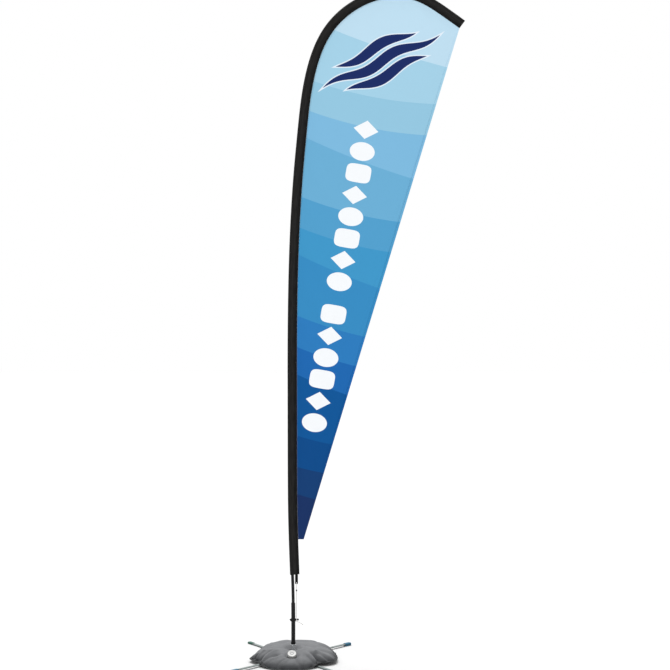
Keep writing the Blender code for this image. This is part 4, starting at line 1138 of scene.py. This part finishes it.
@dataclass
class Flag:
    """The printed panel, stretched between the sleeve's seam and its straight free edge, with its hems."""

    line: PoleLine
    seam: float = 0.0438
    start: float = 0.648
    end: float = 4.830
    tail_width: float = 0.034
    hem_width: float = 0.012
    hem_half: float = 0.0011
    stitch_in: float = 0.0075
    stitch_pitch: float = 0.0070
    stitch_length: float = 0.0050
    thread: float = 0.0004
    cloth: float = 0.0006
    belly: float = 0.014
    rows: int = 440
    columns: int = 56

    def __post_init__(self) -> None:
        """Works out the corners and the straight free edge."""
        self.top = self.line.points(np.array(self.end), self.seam)
        foot = self.line.points(np.array(self.start), self.seam)
        self.foot = foot
        self.tail = foot + np.array([self.tail_width, 0, 0])
        edge = self.tail - self.top
        self.edge_length = float(np.linalg.norm(edge))
        self.down = edge / self.edge_length
        self.inward = np.array([self.down[2], 0, -self.down[0]])

    def seam_hit(self, offset: float) -> float:
        """The arc length at which the seam crosses a line parallel to the free edge.

        Args:
            offset: the line's distance from the free edge.

        Returns:
            The arc length nearest the seam's upper end.
        """
        s = np.linspace(3.9, self.end, 4000)
        away = (self.line.points(s, self.seam) - self.top) @ self.inward - offset
        crossed = np.nonzero((away[:-1] > 0) & (away[1:] <= 0))[0]
        return float(s[crossed[-1]]) if len(crossed) else self.end

    def edge_wave(self, t: Array) -> Array:
        """How far the free edge stands out of the flag's plane at a share of its length from the top."""
        envelope = np.sin(math.pi * np.clip(t, 0, 1))
        swell = 0.006 * np.sin(2 * math.pi * 1.5 * t + 0.4)
        return envelope * (swell + 0.002 * np.sin(2 * math.pi * 5 * t))

    def panel(self) -> Sheet:
        """Straight rulings from the seam to the free edge, which then billow.

        The billow is a half sine across times a slow wave along, with shallow pulls that run from the
        seam and die out across the cloth.
        """
        offset = self.hem_width - 0.001
        top_s = self.seam_hit(offset)
        low = self.foot[2] + self.hem_width - 0.001
        s = self.start + (top_s - self.start) * np.linspace(0, 1, self.rows)
        seam = self.line.points(s, self.seam)
        start_s = float(np.interp(low, seam[: self.rows // 2, 2], s[: self.rows // 2]))
        v = np.linspace(0, 1, self.rows)
        s = start_s + (top_s - start_s) * v
        seam = self.line.points(s, self.seam)
        corner = seam[-1]
        foot_share = (low - corner[2]) / self.down[2]
        free = corner + self.down * (foot_share * (1 - v**1.15))[:, None]
        w = np.linspace(0, 1, self.columns)[None, :, None]
        points = seam[:, None, :] * (1 - w) + free[:, None, :] * w
        t = (points - self.top) @ self.down / self.edge_length
        flat_w = w[..., 0]
        width = np.linalg.norm(free - seam, axis=1)[:, None]
        along = v[:, None]
        billow = self.belly * np.sin(math.pi * flat_w) * np.clip(width / 0.5, 0, 1)
        billow = billow * (0.7 + 0.5 * np.sin(2 * math.pi * along * 1.3 + 0.8))
        pulls = 0.0022 * np.sin(2 * math.pi * (s[:, None] / 0.23) + 1.5 * np.sin(5 * along) + 2 * flat_w)
        pulls = pulls * np.exp(-4 * flat_w) * flat_w * 6 * np.clip(width / 0.3, 0, 1)
        ripple = 0.0016 * np.sin(2 * math.pi * t * 7 + 3 * flat_w) * flat_w**2 * np.clip(width / 0.2, 0, 1)
        edge = self.edge_wave(t) * flat_w**2
        points = points.copy()
        points[..., 1] = -(billow + pulls * (1 - flat_w) + ripple * (1 - flat_w) * 2) + edge
        return Sheet(points, points[..., [0, 2]])

    def strip(self, starts: Array, ends: Array, half: Array, steps: int, waves: bool) -> Sheet:
        """A folded strip: its face, its rounded edge and its back, closed round.

        Args:
            starts: the end of each line that runs along the strip, columns by 3.
            ends: their other ends.
            half: half the strip's thickness at each line.
            steps: points along the strip.
            waves: follow the free edge as it waves.

        Returns:
            The closed strip.
        """
        share = np.linspace(0, 1, steps)[:, None, None]
        lines = starts[None] * (1 - share) + ends[None] * share
        loop = np.concatenate([np.arange(len(half)), np.arange(len(half))[::-1], [0]])
        side = np.concatenate([-np.ones(len(half)), np.ones(len(half)), [-1]])
        points = lines[:, loop].copy()
        t = (points - self.top) @ self.down / self.edge_length
        points[..., 1] += side * half[loop]
        if waves:
            points[..., 1] += self.edge_wave(t)
        along = np.linalg.norm(points - points[:1], axis=-1)
        across = np.broadcast_to(np.linspace(0, 0.024, len(loop)), along.shape)
        uv = stacked(along, across)
        first, last = points[:1].copy(), points[-1:].copy()
        first[..., 1] = first[..., 1].mean()
        last[..., 1] = last[..., 1].mean()
        points = np.concatenate([first, points, last])
        uv = np.concatenate([uv[:1], uv, uv[-1:]])
        return Sheet(points, uv)

    def hems(self) -> list[Piece]:
        """The folded hems along the free edge and across the tail.

        Returns:
            Both hems.
        """
        offsets = np.array([self.hem_width, self.hem_width * 0.7, self.hem_width * 0.35, 0.0008, 0.0])
        half = np.array([0.0007, 0.0011, 0.0011, 0.0009, 0.0003])
        hits = [np.array(self.seam_hit(d) if d > 0 else self.end) for d in offsets]
        starts = np.stack([self.line.points(hit, self.seam) for hit in hits])
        reach = (self.foot[2] - starts[:, 2]) / self.down[2]
        ends = starts + self.down * reach[:, None]
        edge = make_piece("hem_free_edge", [self.strip(starts, ends, half, 300, True)], PRINT, sharp=50)
        heights = self.foot[2] + np.array([self.hem_width, self.hem_width * 0.6, 0.0010, 0.0])
        s = np.linspace(self.start - 0.01, self.start + 0.05, 200)
        line = self.line.points(s, self.seam)
        left = np.stack([np.interp(heights, line[:, 2], line[:, 0]), heights * 0, heights], axis=1)
        corner = starts[0]
        right = corner + self.down * ((heights - corner[2]) / self.down[2])[:, None]
        right[:, 1] = 0
        tail = make_piece(
            "hem_tail", [self.strip(left, right, half[[0, 1, 3, 4]], 12, False)], PRINT, sharp=50
        )
        stitching = self.hem_stitching()
        for piece, *nodes in ((edge, "free_edge_hem"), (tail, "tail_hem"), (stitching,)):
            settle(piece, Body.POLE, "hem_tape", *nodes)
        return [edge, tail, stitching]

    def hem_stitching(self) -> Piece:
        """A row of stitches on each face of the free edge's hem, in thread that took the print's ink.

        Returns:
            Both rows as one piece.
        """
        start = self.line.points(np.array(self.seam_hit(self.stitch_in)), self.seam)
        reach = (self.foot[2] + self.hem_width - start[2]) / self.down[2]
        middle = start + self.down * np.linspace(0, reach, 2000)[:, None]
        wave = self.edge_wave((middle - self.top) @ self.down / self.edge_length)
        rows: list[Sheet] = []
        for face in (-1.0, 1.0):
            row = middle.copy()
            row[:, 1] += wave + face * (self.hem_half + self.thread / 3)
            rows += stitches(row, face, self.stitch_pitch, self.stitch_length, self.thread)
        return make_piece("stitching_of_hem", rows, PRINT, sharp=80)

    def build(self) -> None:
        sheet = self.panel()
        panel = make_piece("cloth_flag", [sheet], PRINT, sharp=80)
        wall(panel, self.cloth, offset=0.0)
        settle(panel, Body.POLE, "printed_polyester", "flag_panel")
        hems = self.hems()


@dataclass
class Crease:
    """A valley in the bag's skin between two places, with a raised lip on its left."""

    start: tuple[float, float]
    end: tuple[float, float]
    depth: float
    width: float

    def drop(self, x: Array, y: Array) -> Array:
        """How far the skin falls here: a bell across the line, fading at both of its ends."""
        x0, y0 = self.start
        x1, y1 = self.end
        length = math.hypot(x1 - x0, y1 - y0)
        dx, dy = (x1 - x0) / length, (y1 - y0) / length
        along = ((x - x0) * dx + (y - y0) * dy) / length
        across = (-(x - x0) * dy + (y - y0) * dx) / self.width
        bend = across + 0.5 * np.sin(3 * along)
        window = ease(-0.25, 0.15, along) * (1 - ease(0.9, 1.35, along))
        ridge = 0.55 * np.exp(-((bend - 2.0) ** 2) / 1.2)
        return self.depth * window * (np.exp(-np.abs(bend) ** 1.4) - ridge)


@dataclass
class WaterBag:
    """The slack ring bag: a pillow round the spindle whose front and back lobes sag to the ground."""

    hole: float = 0.032
    hem: float = 0.013
    crown: float = 0.0775
    over_arms: float = 0.0172
    on_ground: float = 0.0030
    edge: float = 0.0030
    sectors: int = 540
    cap_centre: tuple[float, float, float] = (-0.003, -0.162, 0.0640)
    cap_tilt: float = math.radians(32.0)
    # Bearing in degrees, and how far the welded rim reaches there.
    rim: tuple[tuple[float, float], ...] = (
        (0, 0.270), (25, 0.271), (45, 0.272), (62, 0.276), (90, 0.268), (112, 0.264), (130, 0.246),
        (150, 0.242), (172, 0.244), (187, 0.258), (199, 0.281), (207, 0.276), (217, 0.266), (229, 0.290),
        (245, 0.299), (270, 0.294), (292, 0.290), (303, 0.276), (311, 0.256), (319, 0.278), (330, 0.298),
        (345, 0.285), (360, 0.270),
    )
    creases: tuple[Crease, ...] = (
        Crease((-0.120, -0.085), (-0.214, -0.190), 0.024, 0.013),
        Crease((-0.190, -0.070), (-0.238, -0.128), 0.020, 0.008),
        Crease((-0.085, -0.150), (-0.172, -0.206), 0.012, 0.012),
        Crease((-0.150, -0.045), (-0.262, -0.070), 0.010, 0.013),
        Crease((0.118, -0.118), (0.178, -0.196), 0.026, 0.013),
        Crease((0.150, -0.135), (0.250, -0.160), 0.012, 0.011),
        Crease((0.085, -0.165), (0.150, -0.232), 0.012, 0.012),
        Crease((0.165, -0.070), (0.262, -0.060), 0.008, 0.014),
        Crease((0.120, 0.150), (0.185, 0.190), 0.005, 0.014),
        Crease((0.165, 0.050), (0.262, 0.050), 0.009, 0.013),
        Crease((-0.120, 0.150), (-0.158, 0.205), 0.007, 0.013),
        Crease((-0.140, 0.030), (-0.240, 0.030), 0.008, 0.013),
        Crease((-0.080, 0.070), (-0.020, 0.180), 0.004, 0.018),
        Crease((0.055, 0.050), (0.130, -0.010), 0.005, 0.018),
        Crease((-0.045, -0.060), (-0.135, -0.020), 0.005, 0.018),
        Crease((0.030, -0.200), (0.048, -0.272), 0.008, 0.011),
        Crease((-0.045, -0.205), (-0.085, -0.268), 0.007, 0.012),
        Crease((0.020, 0.120), (0.110, 0.150), 0.004, 0.020),
    )

    def reach(self, turn: Array) -> Array:
        """How far out the rim is at each bearing, on a smooth curve through the rim's own places."""
        bearings, radii = np.array(self.rim).T
        knots = np.concatenate([bearings[-3:-1] - 360, bearings, bearings[1:3] + 360])
        values = np.concatenate([radii[-3:-1], radii, radii[1:3]])
        return smooth_curve(knots, values, np.degrees(turn) % 360)

    @staticmethod
    def sag(turn: Array) -> Array:
        """How far a lobe sags at this bearing, from 0 over the arms to 1 in the lobe's middle."""
        degrees = np.degrees(turn) % 360
        lobes = [
            ease(start, start + 12, degrees) * (1 - ease(end - 12, end, degrees))
            for start, end in ((54.0, 119.0), (229.5, 302.0))
        ]
        return np.maximum(*lobes)

    @staticmethod
    def pucker(turn: Array) -> Array:
        """Gathers along the weld: a wave round the rim whose pitch and height drift."""
        phase = 26 * turn + 2.4 * np.sin(3 * turn) + 1.3 * np.sin(7 * turn + 1)
        return np.sin(phase) * (0.6 + 0.4 * np.sin(5 * turn + 0.5))

    def rest(self, turn: Array) -> Array:
        """Height of the bag's underside at the rim: on the arms, or on the ground under a lobe."""
        return self.over_arms - self.sag(turn) * (self.over_arms - self.on_ground)

    def skin(self) -> Sheet:
        """The whole skin: rings round the spindle, from the hole over the top to the weld and back under.

        The top rises as (1 - share^p)^0.6 of the way to the crown, with p larger and the top fuller
        behind, dips at the hole, and is let down by the slump of the front lobe, the creases and the
        gathers at the weld.
        """
        turn = whole_turn(self.sectors)[:, None]
        top_share = 0.5 - 0.5 * np.cos(np.linspace(0, math.pi, 96))
        sag = self.sag(turn)
        outer = self.reach(turn) - self.hem - 0.0016 * (1 + self.pucker(turn))
        span = outer - self.hole
        edge = self.rest(turn) + self.edge
        share = top_share[None, :]
        power = 3.1 + 3.0 * ease(-0.1, 0.6, np.sin(turn))
        rise = (1 - share**power) ** 0.6 * (1 - 0.42 * np.exp(-((share / 0.11) ** 1.5)))
        slump = sag * (np.sin(turn) < 0) * 0.16 * np.exp(-(((share - 0.68) / 0.22) ** 2))
        radius = self.hole + share * span
        x, y = radius * np.cos(turn), radius * np.sin(turn)
        top = edge + (rise - slump) * (self.crown - edge)
        fold = sum(crease.drop(x, y) for crease in self.creases)
        gather = 0.0045 * self.pucker(turn) * share**6
        top = np.maximum(top - fold + gather, edge + 0.0012 + 0 * top)
        top = self.seat_for_cap(x, y, top)
        top[:, -1:] = edge
        top_points = stacked(x, y, top)
        share = top_share[None, ::-2]
        radius = self.hole + share * span
        drop = ease(0.3, 0.82, share) * (self.over_arms - self.rest(turn))
        lift = ease(0.90, 1.0, share) * self.edge
        under = self.over_arms - drop + lift
        under_points = stacked(radius * np.cos(turn), radius * np.sin(turn), under)
        points = np.concatenate([top_points, under_points[:, 1:], top_points[:, :1]], axis=1)
        return Sheet(points, points[..., :2])

    def weld(self) -> Sheet:
        """The flat weld round the rim: a narrow closed band that gathers with the skin."""
        turn = whole_turn(self.sectors)[:, None]
        way = np.array([[0.0, 0.25, 0.5, 0.8, 1.0, 1.0, 0.8, 0.5, 0.25, 0.0, 0.0]])
        side = np.array([[1.0, 1.0, 0.8, 0.8, 0.5, -0.5, -0.8, -0.8, -1.0, -1.0, 1.0]])
        start = self.reach(turn) - self.hem - 0.0016 * (1 + self.pucker(turn)) - 0.0040
        radius = start + (self.reach(turn) - start) * way
        wave = 0.0032 * self.pucker(turn + 0.04) * way
        droop = 0.0035 * way * self.sag(turn)
        lowest = self.rest(turn) - self.sag(turn) * 0.0012
        middle = np.maximum(self.rest(turn) + self.edge + wave - droop, lowest + 0.0012)
        height = middle + side * 0.0009
        points = stacked(radius * np.cos(turn), radius * np.sin(turn), height)
        return Sheet(points, points[..., :2])

    def seat_for_cap(self, x: Array, y: Array, height: Array) -> Array:
        """Eases the skin onto the flat of the filler's flange, which leans with the cap.

        Args:
            x: the skin's places.
            y: the same.
            height: its heights.

        Returns:
            The heights with the flat in them.
        """
        centre_x, centre_y, centre_z = self.cap_centre
        sink = 0.0085
        flat_y = centre_y + sink * math.sin(self.cap_tilt)
        flat_z = centre_z - sink * math.cos(self.cap_tilt)
        plane = flat_z + math.tan(self.cap_tilt) * (y - flat_y)
        away = np.hypot(x - centre_x, (y - flat_y) / math.cos(self.cap_tilt))
        share = 1 - ease(0.031, 0.056, away)
        return share * plane + (1 - share) * height

    def build(self) -> None:
        """Makes the skin, the weld round the rim and the screw cap."""
        skin = make_piece("skin_of_bag", [self.skin()], PVC, sharp=60)
        settle(skin, Body.BASE, "grey_pvc", "water_bag")
        # The weld takes the darker PVC: painted shade along the rim.
        weld = make_piece("weld_of_bag", [self.weld()], SHADED_WELD, sharp=50)
        settle(weld, Body.BASE, "grey_pvc")
        self.build_cap()

    def build_cap(self) -> None:
        """The screw cap: a ribbed rim, a shallow dish in its top and a raised ring in the dish."""
        skirt, top = -0.0040, 0.0120
        profile = np.array(
            [
                (0.0, top - 0.0006, 0), (0.0030, top - 0.0006, 0), (0.0080, top - 0.0006, 0),
                (0.0084, top + 0.0001, 0), (0.0104, top + 0.0001, 0), (0.0108, top - 0.0008, 0),
                (0.0180, top - 0.0008, 0), (0.0190, top - 0.0001, 0), (0.0236, top, 0),
                (0.0252, top - 0.0006, 0), (0.0262, top - 0.0018, 0.5), (0.0265, top - 0.0032, 1),
                (0.0265, skirt + 0.0030, 1), (0.0265, skirt + 0.0022, 0), (0.0263, skirt, 0),
                (0.0217, skirt, 0), (0.0213, skirt + 0.0006, 0), (0.0213, top - 0.0030, 0),
                (0.0, top - 0.0030, 0),
            ]
        )
        sheet = placed(turned(profile, sides=240, ridges=40, depth=0.0009), self.cap_tilt, self.cap_centre)
        cap = make_piece("cap_of_filler", [sheet], CAP_PLASTIC, sharp=40)
        settle(cap, Body.CAP, "white_plastic", "bag_cap")


@dataclass
class ArmTips:
    """The four moulded tips: a hollow grip with ribs across it, over each end of the two bars."""

    reach: float = 0.500
    length: float = 0.050
    width: float = 0.026
    wall: float = 0.003
    gap: float = 0.0003
    bar_width: float = 0.020
    bar_thickness: float = 0.005
    overhang: float = 0.004

    def tip(self, name: str, node: str, turn: float, foot: float, finish: Finish, body: Body) -> None:
        """One tip, as rounded-square sections along its length; the last ones go back into the pocket.

        A section is |y/a|^n + |z/b|^n = 1 about its own middle height.

        Args:
            name: the piece's name.
            node: the CAD node that it stands for.
            turn: the bearing that it points to.
            foot: height of its bar's underside.
            finish: its plastic.
            body: the body that it rides on.
        """
        height = foot + self.bar_thickness + self.gap + self.wall
        outer_end, inner_end = self.reach, self.reach - self.length
        half_w, half_h = self.width / 2, height / 2
        x = np.linspace(0, 1, 49)
        body_x = outer_end - 0.004 - x * (self.length - 0.0055)
        rib = 0.0007 * (np.sin(x * 2 * math.pi * 6.5) > 0.15) * (x > 0.08) * (x < 0.72)
        rows = [(outer_end, 0.0, 0.0, half_h, 2.4)]
        rows += [(outer_end, half_w * 0.55, half_h * 0.55, half_h, 3.0)]
        rows += [(outer_end - 0.0008, half_w * 0.80, half_h * 0.78, half_h, 4.0)]
        rows += [(outer_end - 0.0022, half_w * 0.94, half_h * 0.93, half_h, 5.0)]
        rows += [(at, half_w - 0.0007 + lift, half_h, half_h, 6.0) for at, lift in zip(body_x, rib)]
        rows += [(inner_end, half_w - 0.0014, half_h - 0.0007, half_h, 6.0)]
        pocket_w = self.bar_width / 2 + self.gap
        pocket_h = self.bar_thickness / 2 + self.gap
        middle = foot + self.bar_thickness / 2
        rows += [(inner_end, pocket_w, pocket_h, middle, 12.0)]
        rows += [(outer_end - self.overhang + self.gap, pocket_w, pocket_h, middle, 12.0)]
        rows += [(outer_end - self.overhang + self.gap, 0.0, 0.0, middle, 12.0)]
        at, half_y, half_z, centre, power = np.array(rows).T[..., None]
        angle = whole_turn(72)[None, :]
        # Rounded, because a high power turns the last digits of a cosine near 0 into a step.
        c, s = np.cos(angle).round(12), np.sin(angle).round(12)
        y = half_y * np.sign(c) * np.abs(c) ** (2 / power)
        z = centre + half_z * np.sign(s) * np.abs(s) ** (2 / power)
        c_turn, s_turn = math.cos(turn), math.sin(turn)
        points = stacked(at * c_turn - y * s_turn, at * s_turn + y * c_turn, z)
        uv = stacked(at, angle * half_w)
        piece = make_piece(name, [Sheet(points, uv)], finish, sharp=38)
        settle(piece, body, "teal_plastic", node)

    def build(self) -> None:
        """Makes all four."""
        lower_foot, upper_foot = 0.0033, 0.0099
        blue_front, green_front = UPPER_ARM_TURN + math.pi, LOWER_ARM_TURN + math.pi
        for end, node_end, turn, foot, finish, body in (
            ("rear_right", "upper_arm_tip_right", UPPER_ARM_TURN, upper_foot, BLUE_TIP, Body.UPPER_ARM),
            ("front_left", "upper_arm_tip_left", blue_front, upper_foot, BLUE_TIP, Body.UPPER_ARM),
            ("front_right", "lower_arm_tip_right", green_front, lower_foot, GREEN_TIP, Body.BASE),
            ("rear_left", "lower_arm_tip_left", LOWER_ARM_TURN, lower_foot, GREEN_TIP, Body.BASE),
        ):
            self.tip(f"grip_{end}", node_end, turn, foot, finish, body)


@dataclass
class Spindle:
    """The chromed spindle with its cup, turned finely because it mirrors the room."""

    radius: float = 0.0085
    spigot: float = 0.0098
    spigot_top: float = 0.2000
    cup: float = 0.0172
    cup_foot: float = 0.0800
    cup_seat: float = 0.0870
    cup_rim: float = 0.0900
    journal: float = 0.0040
    journal_end: float = 0.0140
    shoulder: float = 0.0061

    def build(self) -> None:
        """Turns the profile, from the spigot's top to the journal in the bearings."""
        low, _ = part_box("bearing_retaining_ring")
        shoulder_foot = low.z
        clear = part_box("swivel_housing")[1].z + 0.0003
        profile = np.array(
            [
                (0.0, self.spigot_top), (self.spigot - 0.0030, self.spigot_top),
                (self.spigot - 0.0004, self.spigot_top - 0.0042), (self.spigot, self.spigot_top - 0.0060),
                (self.spigot, self.cup_seat), (self.cup - 0.0016, self.cup_seat),
                (self.cup - 0.0013, self.cup_rim - 0.0003), (self.cup - 0.0009, self.cup_rim),
                (self.cup - 0.0004, self.cup_rim), (self.cup, self.cup_rim - 0.0005),
                (self.cup, self.cup_foot + 0.0042), (self.cup - 0.0006, self.cup_foot + 0.0022),
                (self.cup - 0.0020, self.cup_foot + 0.0008), (self.cup - 0.0040, self.cup_foot),
                (self.radius + 0.0016, self.cup_foot), (self.radius + 0.0004, self.cup_foot - 0.0006),
                (self.radius, self.cup_foot - 0.0018), (self.radius, self.cup_foot - 0.0120),
                (self.radius - 0.0005, self.cup_foot - 0.0125),
                (self.radius - 0.0005, self.cup_foot - 0.0140), (self.radius, self.cup_foot - 0.0145),
                (self.radius, clear), (self.shoulder, clear), (self.shoulder, shoulder_foot),
                (self.journal, shoulder_foot), (self.journal, self.journal_end), (0.0, self.journal_end),
            ]
        )
        piece = make_piece("spindle_chromed", [turned(profile, sides=96)], CHROME, sharp=30)
        settle(piece, Body.SPINDLE, "chrome", "spindle")


# ------------------------------------------------------------
# The room
# ------------------------------------------------------------


@dataclass
class Studio:
    """A pale floor, soft lights and the camera."""

    camera_place: tuple[float, float, float] = (0.2585, -8.0, 2.006)
    half_view: float = 0.259625
    sensor: float = 36.0

    def camera(self) -> None:
        """A level camera that looks along +Y."""
        data = bpy.data.cameras.new("camera")
        data.sensor_width = self.sensor
        data.lens = self.sensor / 2 / self.half_view
        data.clip_end = 100
        made = bpy.data.objects.new("camera", data)
        made.location = self.camera_place
        made.rotation_euler = (math.pi / 2, 0, 0)
        bpy.context.scene.collection.objects.link(made)
        bpy.context.scene.camera = made

    def floor(self) -> None:
        """A wide pale floor that reaches the horizon."""
        side, below = 60.0, 0.0004
        grid = np.linspace(-side, side, 3)
        x, y = np.meshgrid(grid, grid, indexing="ij")
        points = stacked(x, y, np.full_like(x, -below))
        paint = Finish("pale matt floor", "#aeaeae", 0.9)
        made = make_piece("floor", [Sheet(points, points[..., :2])], paint)

    def lights(self) -> None:
        """A white room with a broad soft light from above and behind, and a small key from the left."""
        world = bpy.data.worlds.new("white room")
        bpy.context.scene.world = world
        world.use_nodes = True
        back = world.node_tree.nodes["Background"]
        back.inputs["Color"].default_value = linear("#ffffff")
        back.inputs["Strength"].default_value = 1.0
        bpy.context.scene.view_settings.view_transform = "Standard"
        sun = bpy.data.lights.new("overhead", "SUN")
        sun.angle = math.radians(50)
        sun.energy = 4.5
        key = bpy.data.lights.new("key", "AREA")
        key.size = 0.9
        key.energy = 12.0
        for data, place, aim in (
            (sun, (-0.4, 2.0, 6.4), (0.0, 0.0, 0.0)),
            (key, (-3.2, -5.5, 3.4), (0.0, 0.0, 1.4)),
        ):
            made = bpy.data.objects.new(data.name, data)
            made.location = place
            away = np.array(aim) - np.array(place)
            made.rotation_euler = (
                math.acos(-away[2] / np.linalg.norm(away)),
                0,
                math.atan2(away[1], away[0]) - math.pi / 2,
            )
            bpy.context.scene.collection.objects.link(made)

    def build(self) -> None:
        """Sets the room up."""
        self.camera()
        self.floor()
        self.lights()


def main() -> None:
    """Builds everything in order."""
    logging.basicConfig(level=logging.INFO, format="%(message)s")
    line = PoleLine()
    Studio().build()
    dress_frame()
    TensionCord().build()
    Pole(line).build()
    Sleeve(line).build()
    Flag(line).build()
    WaterBag().build()
    ArmTips().build()
    Spindle().build()


if __name__ == "__main__":
    main()
